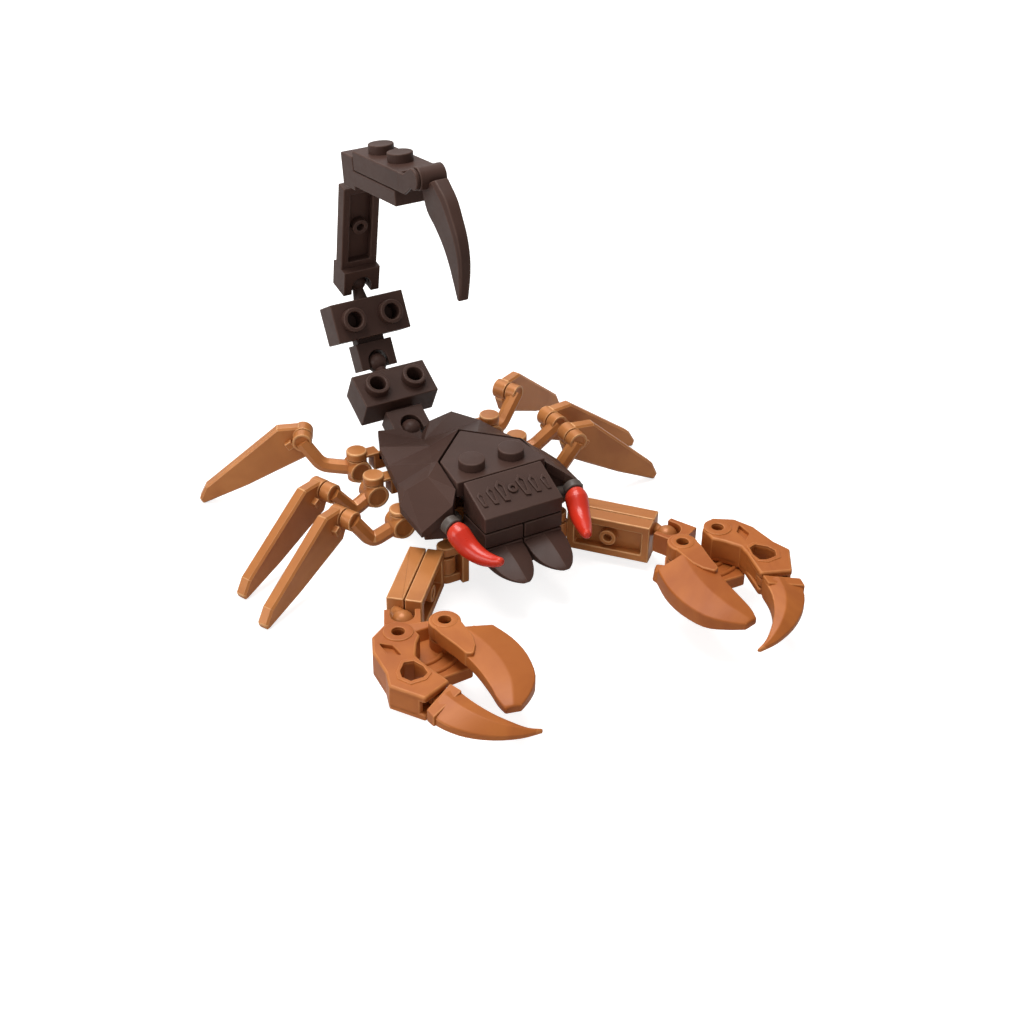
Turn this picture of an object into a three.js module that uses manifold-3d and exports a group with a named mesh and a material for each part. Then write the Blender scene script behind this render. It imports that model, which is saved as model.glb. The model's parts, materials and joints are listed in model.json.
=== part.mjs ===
// Toy scorpion put together from interlocking bricks, in millimetres, +Z up, head towards -Y.
// The origin is on the floor, under the middle of the belly dish.

import * as THREE from 'three';
import { ConvexGeometry } from 'three/addons/geometries/ConvexGeometry.js';
import { mergeVertices } from 'three/addons/utils/BufferGeometryUtils.js';
import Module from 'manifold-3d';

const wasm = await Module();
wasm.setup();

// The brick grid
const PITCH = 8;
const PLATE = 3.2;
const GAP = 0.15;
const HALF_ONE = PITCH / 2 - GAP;
const HALF_TWO = PITCH - GAP;
const STUD_R = 2.4;
const STUD_H = 1.7;
const STUD_BORE_R = 1.6;
const WALL = 1.5;
const BAR_R = 1.6;

// Sides of the round shapes
const STUD_SIDES = 14;
const ROUND_SIDES = 10;
const HOLE_SIDES = 8;
const LEG_SIDES = 6;

// Heights above the floor
const DECK_Z = 21.3;
const SLOPE_DROP = 3.3;
const HEAD_BASE_Z = DECK_Z - 2 * PLATE;
const JAW_BASE_Z = HEAD_BASE_Z - PLATE;
const FANG_BASE_Z = JAW_BASE_Z - PLATE;
const CHASSIS_BASE_Z = FANG_BASE_Z - PLATE;
const DISH_TOP_Z = CHASSIS_BASE_Z - GAP;

// Head, from the brow at the back of the slope to its lip
const BROW_Y = -7.5;
const LIP_Y = BROW_Y - PITCH;
const FANG_REACH = 8.2;
const HORN_R = 1.75;
const HORN_AXIS = { from: [12.63, -10.75, 16.24], to: [12.3, -12.3, 15.9] };

// Tail: three ball joints one behind the other in the middle plane
const BALL_R = 2;
const SOCKET_R = 2.25;
const NECK_BALL = { y: 29, z: 10.9 };
const BALL_PITCH = 16.8;
const SEGMENT_CENTRE = 9.2;
const SEGMENT_TURN = [27, 59, 100];
const TOP_TURN = -8;
const UPRIGHT = { foot: 4.2, head: 22.4, face: 1.2, back: -1.4 };
const TOP_PIVOT = { y: 26.6, z: 2.5 };
const STINGER_AXIS = { y: -28.1, z: 4.7 };

// Arms and pincers
const ARM_CENTRE = { x: 18.1, y: -15.1, z: 5.7 };
const ARM_YAW = -48.6;
const SHOULDER_X = -9.7;
const ARM_FRONT_Y = -0.25;
const WRIST = { x: 10.4, y: 2.5, z: 1.2 };
const PALM_YAW = 194;
const BLADE_PIVOT = { x: 23.6, y: -30.5 };
const LINK_PIVOT = { x: 31.7, y: -29.7 };
const FINGER_PIVOT = { x: 32.2, y: -44 };
const PIN_R = 0.85;
const PIN_HOLE_R = 1.1;
const PALM_FLOOR_Z = 7.1;
const LINK_BASE_Z = 7.4;
const PALM_TOP_Z = 9.1;
const BLADE_BASE_Z = 9.4;
const CLAW_TOP_Z = 12.2;

// Legs: hip, bend and knee of the bent bar, and the tip of the blade
const LEG_ROD_R = 1.45;
const KNUCKLE_R = 2.1;
const BLADE_HALF = 1.15;
const HIP_PIN_R = 1.1;
const KNEE_PIN_R = 1;
const HIP_ARM = { step: 10.9, under: 11.75, top: 12.35, knobR: 1.9, openKnob: 13.3 };
const LEGS = [
  {
    name: 'left_front',
    hip: [-15.5, 2.5, 9.3],
    bend: [-20.7, 3.7, 6.4],
    knee: [-25, 5.6, 11.5],
    tip: [-44.7, -4.8, 0.68],
  },
  {
    name: 'left_middle',
    hip: [-15.3, 14, 9.3],
    bend: [-20, 13.5, 7.1],
    knee: [-25, 14.2, 12.6],
    tip: [-44.8, 5.2, 0.67],
  },
  {
    name: 'left_rear',
    hip: [-14.4, 23.3, 9.3],
    bend: [-20.5, 26.1, 10.3],
    knee: [-22.5, 29.8, 15],
    tip: [-40.8, 38.9, 0.64],
  },
  {
    name: 'right_front',
    hip: [15.5, 2.5, 9.3],
    bend: [18.4, 3.5, 10],
    knee: [22.3, 4.7, 15.5],
    tip: [42.4, 4.3, 0.63],
  },
  {
    name: 'right_middle',
    hip: [15.3, 14, 9.3],
    bend: [18.7, 13.5, 9.6],
    knee: [24, 14.9, 13.5],
    tip: [45.5, 17.1, 0.66],
  },
  {
    name: 'right_rear',
    hip: [14.4, 23.3, 9.3],
    bend: [17.5, 24.5, 9.1],
    knee: [22, 28.9, 13.6],
    tip: [40.2, 38, 0.65],
  },
];

const FINISHES = {
  dark: { color: 0x3f332e, roughness: 0.42, metalness: 0 },
  gold: { color: 0xa9703c, roughness: 0.38, metalness: 0.35 },
  orange: { color: 0xb8652c, roughness: 0.4, metalness: 0.2 },
  red: { color: 0xd03420, roughness: 0.35, metalness: 0 },
  grey: { color: 0x4a4540, roughness: 0.42, metalness: 0 },
};

const rad = THREE.MathUtils.degToRad;

// Booleans on closed meshes

function solidOf(geometry) {
  const bare = geometry.index ? geometry.toNonIndexed() : geometry.clone();
  bare.deleteAttribute('normal');
  bare.deleteAttribute('uv');
  const merged = mergeVertices(bare, 1e-4);
  const mesh = new wasm.Mesh({
    numProp: 3,
    vertProperties: new Float32Array(merged.attributes.position.array),
    triVerts: new Uint32Array(merged.index.array),
  });
  return new wasm.Manifold(mesh);
}

function geometryOf(solid) {
  const mesh = solid.getMesh();
  const geometry = new THREE.BufferGeometry();
  geometry.setAttribute('position', new THREE.BufferAttribute(Float32Array.from(mesh.vertProperties), 3));
  geometry.setIndex(new THREE.BufferAttribute(Uint32Array.from(mesh.triVerts), 1));
  return geometry;
}

function join(...solids) {
  return solids.reduce((sum, solid) => sum.add(solid));
}

function cut(solid, ...tools) {
  return tools.reduce((rest, tool) => rest.subtract(tool), solid);
}

function placed(solid, matrix) {
  const geometry = geometryOf(solid);
  geometry.applyMatrix4(matrix);
  return solidOf(geometry);
}

// Primitive solids, each made where it is used

function block(x, y, z) {
  const geometry = new THREE.BoxGeometry(x[1] - x[0], y[1] - y[0], z[1] - z[0]);
  geometry.translate((x[0] + x[1]) / 2, (y[0] + y[1]) / 2, (z[0] + z[1]) / 2);
  return solidOf(geometry);
}

function rodGeometry(from, to, radius, sides = ROUND_SIDES, endRadius = radius) {
  const start = new THREE.Vector3(...from);
  const axis = new THREE.Vector3(...to).sub(start);
  const geometry = new THREE.CylinderGeometry(endRadius, radius, axis.length(), sides);
  geometry.applyQuaternion(new THREE.Quaternion().setFromUnitVectors(
    new THREE.Vector3(0, 1, 0), axis.clone().normalize()));
  geometry.translate(...start.addScaledVector(axis, 0.5).toArray());
  return geometry;
}

function rod(...shape) {
  return solidOf(rodGeometry(...shape));
}

function ball(centre, radius, sides = ROUND_SIDES) {
  const geometry = new THREE.SphereGeometry(radius, sides, Math.round(sides / 2));
  geometry.rotateX(Math.PI / 2);
  geometry.translate(...centre);
  return solidOf(geometry);
}

// Extrudes an outline drawn in X and Y from the lower to the upper height.
function prism(outline, low, high) {
  const shape = new THREE.Shape(outline.map(([x, y]) => new THREE.Vector2(x, y)));
  const geometry = new THREE.ExtrudeGeometry(shape, { depth: high - low, bevelEnabled: false });
  geometry.translate(0, 0, low);
  return solidOf(geometry);
}

// Extrudes an outline drawn in Y and Z along X.
function sideProfile(outline, left, right) {
  const shape = new THREE.Shape(outline.map(([y, z]) => new THREE.Vector2(y, z)));
  const geometry = new THREE.ExtrudeGeometry(shape, { depth: right - left, bevelEnabled: false });
  geometry.translate(0, 0, left);
  const turn = new THREE.Matrix4().makeBasis(
    new THREE.Vector3(0, 1, 0), new THREE.Vector3(0, 0, 1), new THREE.Vector3(1, 0, 0));
  geometry.applyMatrix4(turn);
  return solidOf(geometry);
}

function hull(points) {
  return solidOf(new ConvexGeometry(points.map((point) => new THREE.Vector3(...point))));
}

// Joins rings of equally many points into one closed skin.
function loft(rings) {
  const sides = rings[0].length;
  const points = rings.flat();
  const faces = [];
  for (let ring = 0; ring < rings.length - 1; ring += 1) {
    for (let side = 0; side < sides; side += 1) {
      const a = ring * sides + side;
      const b = ring * sides + (side + 1) % sides;
      faces.push(a, b, b + sides, a, b + sides, a + sides);
    }
  }
  const last = (rings.length - 1) * sides;
  for (let side = 1; side < sides - 1; side += 1) {
    faces.push(0, side + 1, side, last, last + side, last + side + 1);
  }
  const geometry = new THREE.BufferGeometry();
  geometry.setAttribute('position', new THREE.Float32BufferAttribute(points.flat(), 3));
  geometry.setIndex(faces);
  return solidOf(outward(geometry));
}

// Round sections along a curve; a lead point ahead of the first station sets that section's direction.
function swept(stations, sides, lead) {
  const rings = stations.map(({ at, r }, i) => {
    const first = i === 0;
    const before = first ? lead ?? at : stations[i - 1].at;
    const after = first && lead ? at : stations[Math.min(i + 1, stations.length - 1)].at;
    const ahead = new THREE.Vector3(...after).sub(new THREE.Vector3(...before)).normalize();
    const across = new THREE.Vector3(0, 0, 1).cross(ahead).normalize();
    const up = ahead.clone().cross(across);
    return Array.from({ length: sides }, (_, k) => {
      const angle = (2 * Math.PI * k) / sides;
      return new THREE.Vector3(...at)
        .addScaledVector(across, r * Math.cos(angle))
        .addScaledVector(up, r * Math.sin(angle))
        .toArray();
    });
  });
  return loft(rings);
}

// Turns every face over if the skin is inside out.
function outward(geometry) {
  const position = geometry.attributes.position;
  const [a, b, c] = [new THREE.Vector3(), new THREE.Vector3(), new THREE.Vector3()];
  let volume = 0;
  for (let i = 0; i < geometry.index.count; i += 3) {
    a.fromBufferAttribute(position, geometry.index.getX(i));
    b.fromBufferAttribute(position, geometry.index.getX(i + 1));
    c.fromBufferAttribute(position, geometry.index.getX(i + 2));
    volume += a.dot(b.cross(c));
  }
  if (volume < 0) {
    geometry.index.array.reverse();
  }
  return geometry;
}

function mirrored(geometry) {
  const copy = geometry.clone();
  copy.scale(-1, 1, 1);
  return outward(copy);
}

// Brick details

function solidStud(x, y, z) {
  return rod([x, y, z - 0.4], [x, y, z + STUD_H], STUD_R, STUD_SIDES);
}

function hollowStud(x, y, z) {
  const depth = 1.5;
  return cut(solidStud(x, y, z), rod([x, y, z + STUD_H - depth], [x, y, z + STUD_H + 1], STUD_BORE_R));
}

// A fork that snaps over a ball at the origin; its prongs reach back along +Y.
function ballFork(front, back, half = HALF_ONE) {
  const archR = 1.65;
  const archY = 1.4;
  const mouthY = -1;
  const slot = join(
    block([-archR, archR], [mouthY - 1, archY], [back - 1, front + 1]),
    rod([0, archY, back - 1], [0, archY, front + 1], archR),
  );
  const prongs = block([-half, half], [mouthY, 4.4], [back, front]);
  return cut(prongs, slot, ball([0, 0, 0], SOCKET_R));
}

function ballStem(root, centreY) {
  return join(
    rod([0, root, 0], [0, centreY, 0], 1.35, ROUND_SIDES, 0.95),
    ball([0, centreY, 0], BALL_R),
  );
}

// Materials and meshes

function part(name, solid, finish, mirror = false) {
  const geometry = geometryOf(solid);
  const mesh = new THREE.Mesh(
    mirror ? mirrored(geometry) : geometry,
    new THREE.MeshStandardMaterial({ ...FINISHES[finish] }),
  );
  mesh.name = name;
  return mesh;
}

// Back shell: a faceted roof of constant thickness around the back plate

const SHELL = {
  apex: [0, 9, DECK_Z],
  shoulder: [8.6, 0.8, DECK_Z],
  front: [9.3, -7.4, 20.2],
  wingInner: [11.4, -10.2, 19],
  wingTip: [16.6, -8.4, 13.9],
  peak: [11, -0.1, 19.2],
  cheek: [14.3, 2.2, 16.2],
  brow: [9, 2.6, 20],
  flank: [5, 11, 18],
  side: [16.4, 0.5, 14.6],
  waist: [13.8, 6.8, 14.6],
  hipEdge: [12.4, 13.5, 14.6],
  loin: [10.8, 20.5, 14.4],
  corner: [8, 27.2, 13.7],
  valley: [0, 23.4, 11.4],
  notch: [3.2, 27, 13],
  tailRoot: [0, 27, 9],
};
const SHELL_FACES = [
  ['apex', 'shoulder', 'flank'],
  ['shoulder', 'brow', 'flank'],
  ['shoulder', 'front', 'peak'],
  ['shoulder', 'peak', 'brow'],
  ['front', 'wingInner', 'peak'],
  ['wingInner', 'wingTip', 'cheek'],
  ['wingInner', 'cheek', 'peak'],
  ['wingTip', 'side', 'cheek'],
  ['side', 'waist', 'cheek'],
  ['peak', 'cheek', 'brow'],
  ['brow', 'cheek', 'waist'],
  ['brow', 'waist', 'hipEdge'],
  ['brow', 'hipEdge', 'flank'],
  ['apex', 'flank', 'valley'],
  ['flank', 'hipEdge', 'loin'],
  ['flank', 'loin', 'valley'],
  ['valley', 'loin', 'corner'],
  ['valley', 'corner', 'notch'],
  ['valley', 'notch', 'tailRoot'],
];
const SHELL_THICKNESS = 1.9;
const SKIRT = { front: 13, side: 12.9, corner: 12.5, notch: 11.4, tailRoot: 7.4 };

// One column per roof facet, from the facet down to its own copy below.
function shellRoof() {
  const columns = [];
  for (const names of SHELL_FACES) {
    for (const sign of [1, -1]) {
      const top = names.map((name) => {
        const [x, y, z] = SHELL[name];
        return [sign * x, y, z];
      });
      const foot = top.map(([x, y, z]) => [x, y, z - SHELL_THICKNESS]);
      columns.push(hull([...top, ...foot]));
    }
  }
  return join(...columns);
}

// The level to which the shell's edge hangs down at one of its rim points.
function skirtLevel(name) {
  const [, , z] = SHELL[name];
  const level = SKIRT[name] ?? (name.startsWith('wing') ? SKIRT.front : SKIRT.side);
  return Math.min(level, z - 1);
}

// One wall under each stretch of the rim, leaning against the inside of the outer edge.
function shellWalls() {
  const rim = ['wingTip', 'side', 'waist', 'hipEdge', 'loin', 'corner', 'notch', 'tailRoot'];
  const walls = [];
  for (let i = 0; i < rim.length - 1; i += 1) {
    const ends = [rim[i], rim[i + 1]];
    const inward = rim[i] === 'corner' || rim[i] === 'notch' ? WALL : 0;
    for (const sign of [1, -1]) {
      const corners = ends.flatMap((name) => {
        const [x, y, z] = SHELL[name];
        const low = skirtLevel(name);
        const inner = Math.max(x - WALL, 0);
        return [
          [sign * x, y, z], [sign * x, y, low],
          [sign * inner, y - inward, z - 0.6], [sign * inner, y - inward, low],
        ];
      });
      walls.push(hull(corners));
    }
  }
  return join(...walls);
}

function carapace() {
  const { y, z } = NECK_BALL;
  const neck = hull([
    [-1.3, y - 4.5, 8.6], [1.3, y - 4.5, 8.6], [-1.3, y - 0.4, 7.6], [1.3, y - 0.4, 7.6],
    [-1, y - 1.3, z + 0.9], [1, y - 1.3, z + 0.9], [-1, y + 0.8, z - 0.4], [1, y + 0.8, z - 0.4],
  ]);
  return join(shellRoof(), shellWalls(), neck, ball([0, y, z], BALL_R));
}

function backPlate() {
  const half = [[0, 8.5], [8.2, 0.6], [9, BROW_Y + 0.2]];
  const outline = [...half, ...half.slice(1).reverse().map(([x, y]) => [-x, y])];
  return join(
    prism(outline, DECK_Z - PLATE + GAP, DECK_Z),
    solidStud(-HALF_ONE - GAP, BROW_Y + PITCH / 2, DECK_Z),
    solidStud(HALF_ONE + GAP, BROW_Y + PITCH / 2, DECK_Z),
  );
}

function headSlope() {
  return sideProfile([
    [BROW_Y, HEAD_BASE_Z + GAP], [BROW_Y, DECK_Z],
    [LIP_Y, DECK_Z - SLOPE_DROP], [LIP_Y, HEAD_BASE_Z + GAP],
  ], -HALF_TWO, HALF_TWO);
}

function jawPlate(sign) {
  const x = sign > 0 ? [GAP, HALF_TWO] : [-HALF_TWO, -GAP];
  return block(x, [LIP_Y, BROW_Y], [JAW_BASE_Z + GAP, HEAD_BASE_Z - GAP]);
}

// A square plate whose front grows into a pointed tooth with a ridge on top.
function fangPlate(sign) {
  const middle = sign * PITCH / 2;
  const low = FANG_BASE_Z + GAP;
  const high = JAW_BASE_Z - GAP;
  const ring = (y, half, bottom, shoulder, ridge) => [
    [middle - half, y, bottom], [middle + half, y, bottom],
    [middle + half, y, shoulder], [middle, y, ridge], [middle - half, y, shoulder],
  ];
  return join(
    block([middle - HALF_ONE, middle + HALF_ONE], [LIP_Y, BROW_Y], [low, high]),
    loft([
      ring(LIP_Y + 0.1, HALF_ONE - 0.05, low, high - 0.6, high),
      ring(LIP_Y - 3, 3.7, low, 9.9, high - 0.5),
      ring(LIP_Y - 5.5, 2.9, low - 0.05, 9.2, high - 1.5),
      ring(LIP_Y - 7.4, 1.6, low - 0.1, 8.9, high - 2.3),
      ring(LIP_Y - FANG_REACH, 0.5, low - 0.1, 8.6, 8.8),
    ]),
  );
}

// Frame inside the body

function chassis() {
  return {
    lower: join(
      block([-HALF_TWO, HALF_TWO], [BROW_Y + 0.3, 23.5], [CHASSIS_BASE_Z, FANG_BASE_Z - GAP]),
      block([-3.6, 3.6], [LIP_Y + 1, BROW_Y + 1], [CHASSIS_BASE_Z, FANG_BASE_Z - GAP]),
    ),
    upper: block([-6.2, 6.2], [BROW_Y + 0.3, 4.6], [HEAD_BASE_Z + GAP, DECK_Z - PLATE - GAP]),
  };
}

function bellyDish() {
  const profile = [[0, 0], [2.6, 0], [4.8, 0.7], [6.6, 2.1], [7.6, 3.8], [7.85, DISH_TOP_Z], [0, DISH_TOP_Z]];
  const geometry = new THREE.LatheGeometry(profile.map(([r, z]) => new THREE.Vector2(r, z)), 24);
  geometry.rotateX(Math.PI / 2);
  return solidOf(outward(mergeVertices(bareOf(geometry), 1e-4)));
}

function bareOf(geometry) {
  const bare = geometry.clone();
  bare.deleteAttribute('normal');
  bare.deleteAttribute('uv');
  return bare;
}

// A gold plate across the body. On each side an arm steps up over the hip and holds its upright pin.
function legHolder(hips) {
  const y = hips[0].hip[1];
  const low = FANG_BASE_Z + GAP;
  const underShell = hips[0].name.endsWith('front');
  const pieces = [legHolderDeck(hips[0], low)];
  for (const { hip } of hips) {
    const sign = Math.sign(hip[0]);
    const post = [Math.abs(hip[0]) - 4.3, Math.abs(hip[0]) - 3];
    const across = (x) => (sign > 0 ? x : [-x[1], -x[0]]);
    const width = [y - 1.4, y + 1.4];
    pieces.push(block(across([5.2, post[1]]), width, [low, HIP_ARM.step]));
    pieces.push(block(across(post), width, [low, HIP_ARM.top]));
    pieces.push(block(across([post[0], Math.abs(hip[0])]), width, [HIP_ARM.under, HIP_ARM.top]));
    const knobTop = underShell ? HIP_ARM.top : HIP_ARM.openKnob;
    pieces.push(rod([hip[0], y, HIP_ARM.under], [hip[0], y, knobTop], HIP_ARM.knobR, HOLE_SIDES));
    pieces.push(rod([hip[0], y, hip[2] - 2.6], [hip[0], y, HIP_ARM.top - 0.2], HIP_PIN_R, LEG_SIDES));
  }
  return join(...pieces);
}

// The rear plate is thin and open in the middle, where the shell dips towards the tail.
function legHolderDeck(leg, low) {
  const y = leg.hip[1];
  if (!leg.name.endsWith('rear')) {
    return block([-HALF_TWO, HALF_TWO], [y - HALF_ONE, y + HALF_ONE], [low, JAW_BASE_Z - GAP]);
  }
  return cut(
    block([-HALF_TWO, HALF_TWO], [y - HALF_ONE, y + 1.4], [low, 9.6]),
    block([-5, 5], [y - 2.1, y + 2], [low - 1, 10]),
  );
}

function hornHolder() {
  return join(
    rod(HORN_AXIS.from, HORN_AXIS.to, HORN_R),
    rod([12.2, -11.1, 15.5], [8.9, -6.8, 13.2], 1.1, HOLE_SIDES),
    block([HALF_TWO + GAP, 9.4], [BROW_Y + 0.3, -5.2], [12.2, 14.2]),
  );
}

function shoulderBlock(pivot) {
  const [x, y] = pivot;
  const z = ARM_CENTRE.z;
  const lug = (low, high) => join(
    rod([x, y, low], [x, y, high], 1.6),
    block([8.2, x], [y - 1.7, y + 1.7], [low, high]),
  );
  return join(
    block([8.2, 9.6], [y - 2.6, y + 3.6], [z - 3.8, z + 3.8]),
    lug(z + 2, z + 3.8),
    lug(z - 3.8, z - 2),
    rod([x, y, z - 3], [x, y, z + 3], 0.9, HOLE_SIDES),
  );
}

// Arm: an open plate in front and a plain one behind, standing on edge

function armInner() {
  const front = ARM_FRONT_Y;
  const back = front + PLATE - GAP;
  const floor = back - WALL;
  const shell = cut(
    block([-HALF_TWO, HALF_TWO], [front, back], [-HALF_ONE, HALF_ONE]),
    block([-HALF_TWO + WALL, HALF_TWO - WALL], [front - 1, floor], [-HALF_ONE + WALL, HALF_ONE - WALL]),
  );
  const tube = cut(
    rod([0, floor + 0.3, 0], [0, front, 0], 1.55),
    rod([0, floor - 0.3, 0], [0, front - 1, 0], 0.8, HOLE_SIDES),
  );
  const knuckle = join(
    rod([SHOULDER_X, 0, -1.7], [SHOULDER_X, 0, 1.7], 1.85),
    block([SHOULDER_X, -HALF_TWO + 0.3], [0, 1.3], [-1.7, 1.7]),
  );
  return cut(
    join(shell, tube, knuckle),
    rod([SHOULDER_X, 0, -3], [SHOULDER_X, 0, 3], 1.15, HOLE_SIDES),
  );
}

function armOuter() {
  const front = ARM_FRONT_Y + PLATE + GAP / 2;
  const { x, y, z } = WRIST;
  return join(
    block([-HALF_TWO, HALF_TWO], [front, front + PLATE - GAP], [-HALF_ONE, HALF_ONE]),
    rod([HALF_TWO - 0.3, front + 1.4, z], [x - 1, y + 0.4, z], 1.1, HOLE_SIDES),
    ball([x, y, z], BALL_R),
  );
}

// Pincer: a low palm with two upright pins, a link on the outer pin and a blade on the inner one

function pinAt({ x, y }, low, high, radius = PIN_R) {
  return rod([x, y, low], [x, y, high], radius);
}

function palm(wrist) {
  const floor = prism([
    [22.2, -37.8], [32.2, -38.2], [33.2, -34.6], [33.6, -31.5], [33, -27.6],
    [28.4, -26], [23, -26.6], [20.9, -29.4], [20.9, -33.2],
  ], 4.7, PALM_FLOOR_Z);
  const stance = new THREE.Matrix4().makeRotationFromEuler(new THREE.Euler(0, rad(90), rad(PALM_YAW), 'ZYX'));
  const fork = placed(ballFork(2.4, -2.4, 3.3), stance.setPosition(...wrist));
  const bridge = hull([
    [23.6, -26.2, 4.9], [28.6, -25.2, 4.9], [23.6, -28.6, 4.9], [28.8, -28.6, 4.9],
    [23.8, -26.4, 9.6], [28.4, -25.4, 9.6], [24.4, -27.4, 9.1], [28.6, -27.4, 9.1],
  ]);
  return join(
    floor, fork, bridge,
    pinAt(BLADE_PIVOT, PALM_FLOOR_Z - 0.5, PALM_TOP_Z, 2.6),
    pinAt(BLADE_PIVOT, PALM_FLOOR_Z, CLAW_TOP_Z - 1.2),
    pinAt(LINK_PIVOT, PALM_FLOOR_Z - 0.5, CLAW_TOP_Z - 1.2),
  );
}

function link() {
  const body = prism([
    [32.6, -26.6], [36, -28.8], [37.6, -32.4], [38, -38], [39, -41.2], [35.4, -46.6], [30.1, -44.6],
    [31.6, -38.8], [31.9, -36.4], [30.3, -33.6], [28.9, -32], [29.2, -28.6],
  ], LINK_BASE_Z, CLAW_TOP_Z);
  const { x, y } = FINGER_PIVOT;
  const low = LINK_BASE_Z + 1.3;
  const high = CLAW_TOP_Z - 1.3;
  const pocket = join(
    pinAt(FINGER_PIVOT, low, high, 2.1),
    prism([[x - 1.9, y + 0.6], [x - 4, y - 5], [x + 5, y - 6], [x + 2, y + 0.6]], low, high),
  );
  const slotOutline = [[34.2, -31.6], [35.5, -32.2], [35.3, -35], [33.9, -34.4]];
  const slot = prism(slotOutline, CLAW_TOP_Z - 1.4, CLAW_TOP_Z + 1);
  const window = rod([34.7, -39.8, LINK_BASE_Z - 1], [34.7, -39.8, CLAW_TOP_Z + 1], 2, 8);
  return join(
    cut(body, pinAt(LINK_PIVOT, 0, CLAW_TOP_Z + 1, PIN_HOLE_R), slot, window, pocket),
    pinAt(FINGER_PIVOT, low - 0.5, high + 0.5),
  );
}

// Closed skin through cross-sections given by their outer and inner edge points.
function bladeBody(stations, ridge) {
  return loft(stations.map(({ outer, inner, top, edge, foot, heel }) => {
    const mid = [0, 1].map((axis) => outer[axis] + (inner[axis] - outer[axis]) * ridge);
    return [
      [...outer, heel], [...inner, foot], [...inner, top - 0.4], [...mid, top], [...outer, edge],
    ];
  }));
}

function broadBlade() {
  const { x, y } = BLADE_PIVOT;
  const body = bladeBody([
    { outer: [16.3, -33.6], inner: [25.9, -33.2], top: 12.2, edge: 10.8, foot: BLADE_BASE_Z, heel: 7.6 },
    { outer: [15.1, -38.2], inner: [24.9, -38], top: 12, edge: 10.7, foot: 9.5, heel: 7.5 },
    { outer: [15, -43], inner: [24.3, -42.5], top: 11.7, edge: 10.5, foot: 9.2, heel: 7.5 },
    { outer: [16.3, -47.7], inner: [24.3, -47], top: 11.2, edge: 10.2, foot: 8.8, heel: 7.5 },
    { outer: [18.7, -51.2], inner: [24.5, -50.5], top: 10.5, edge: 9.8, foot: 8.3, heel: 7.6 },
    { outer: [21.5, -53.4], inner: [24.3, -52.7], top: 9.8, edge: 9.5, foot: 7.9, heel: 7.8 },
  ], 0.55);
  const root = prism([
    [x - 2.4, y - 1], [x + 2.5, y - 0.8], [25.9, -33.4], [24.6, -35], [16.6, -34.6], [18.9, -34.2], [21, -33],
  ], BLADE_BASE_Z, CLAW_TOP_Z - 0.2);
  const heel = hull([
    [18.6, -29.6, 7.6], [16.2, -32.4, 7.6], [16.4, -35, 7.6], [19.4, -34, 7.6],
    [18.4, -30.4, 9.2], [16.6, -32.6, 9.6], [16.4, -35, 10.6], [19.6, -34, 10.6],
  ]);
  return cut(
    join(body, root, heel, rod([x, y, BLADE_BASE_Z], [x, y, CLAW_TOP_Z], 2.7, STUD_SIDES)),
    pinAt(BLADE_PIVOT, 0, CLAW_TOP_Z + 1, PIN_HOLE_R),
  );
}

function thinBlade() {
  const { x, y } = FINGER_PIVOT;
  const low = LINK_BASE_Z + 1.6;
  const high = CLAW_TOP_Z - 1.6;
  const body = bladeBody([
    { outer: [35.9, -48.2], inner: [29.9, -45.8], top: 12.1, edge: 10.8, foot: 7.8, heel: 8 },
    { outer: [34.7, -51.2], inner: [28.8, -49.6], top: 11.7, edge: 10.3, foot: 7.6, heel: 7.8 },
    { outer: [32.3, -53.9], inner: [27, -52.8], top: 10.9, edge: 9.7, foot: 7.4, heel: 7.6 },
    { outer: [28.8, -56.1], inner: [24.8, -55], top: 9.9, edge: 9, foot: 7.2, heel: 7.4 },
    { outer: [24.6, -57.4], inner: [22.7, -56.4], top: 8.9, edge: 8.4, foot: 7.1, heel: 7.3 },
    { outer: [20.8, -57.7], inner: [20.5, -57.1], top: 8.1, edge: 7.9, foot: 7.3, heel: 7.4 },
  ], 0.6);
  const neck = prism([[x - 1.5, y], [x - 1.2, y - 4], [x + 2.4, y - 5], [x + 1.5, y]], low, high);
  return cut(join(body, neck, pinAt(FINGER_PIVOT, low, high, 1.75)), pinAt(FINGER_PIVOT, 0, 20, PIN_HOLE_R));
}

// Horn: round sections along a curve from the holder to the tip.
function horn() {
  const stations = [
    { at: [12.24, -12.6, 15.83], r: HORN_R },
    { at: [11.9, -13.8, 15], r: 2.1 },
    { at: [11.2, -16, 13.6], r: 1.9 },
    { at: [10.3, -18.8, 13.1], r: 1.5 },
    { at: [9.3, -21.2, 13.4], r: 1.15 },
    { at: [8.5, -22.9, 14.1], r: 0.65 },
  ];
  return swept(stations, ROUND_SIDES, HORN_AXIS.from);
}

// Legs

// The knee axis is level and square to the blade; it points to the back.
function kneeAxis(leg) {
  const across = new THREE.Vector3(leg.tip[1] - leg.knee[1], leg.knee[0] - leg.tip[0], 0).normalize();
  return across.y < 0 ? across.negate() : across;
}

function along(point, direction, distance) {
  return new THREE.Vector3(...point).addScaledVector(direction, distance).toArray();
}

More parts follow.
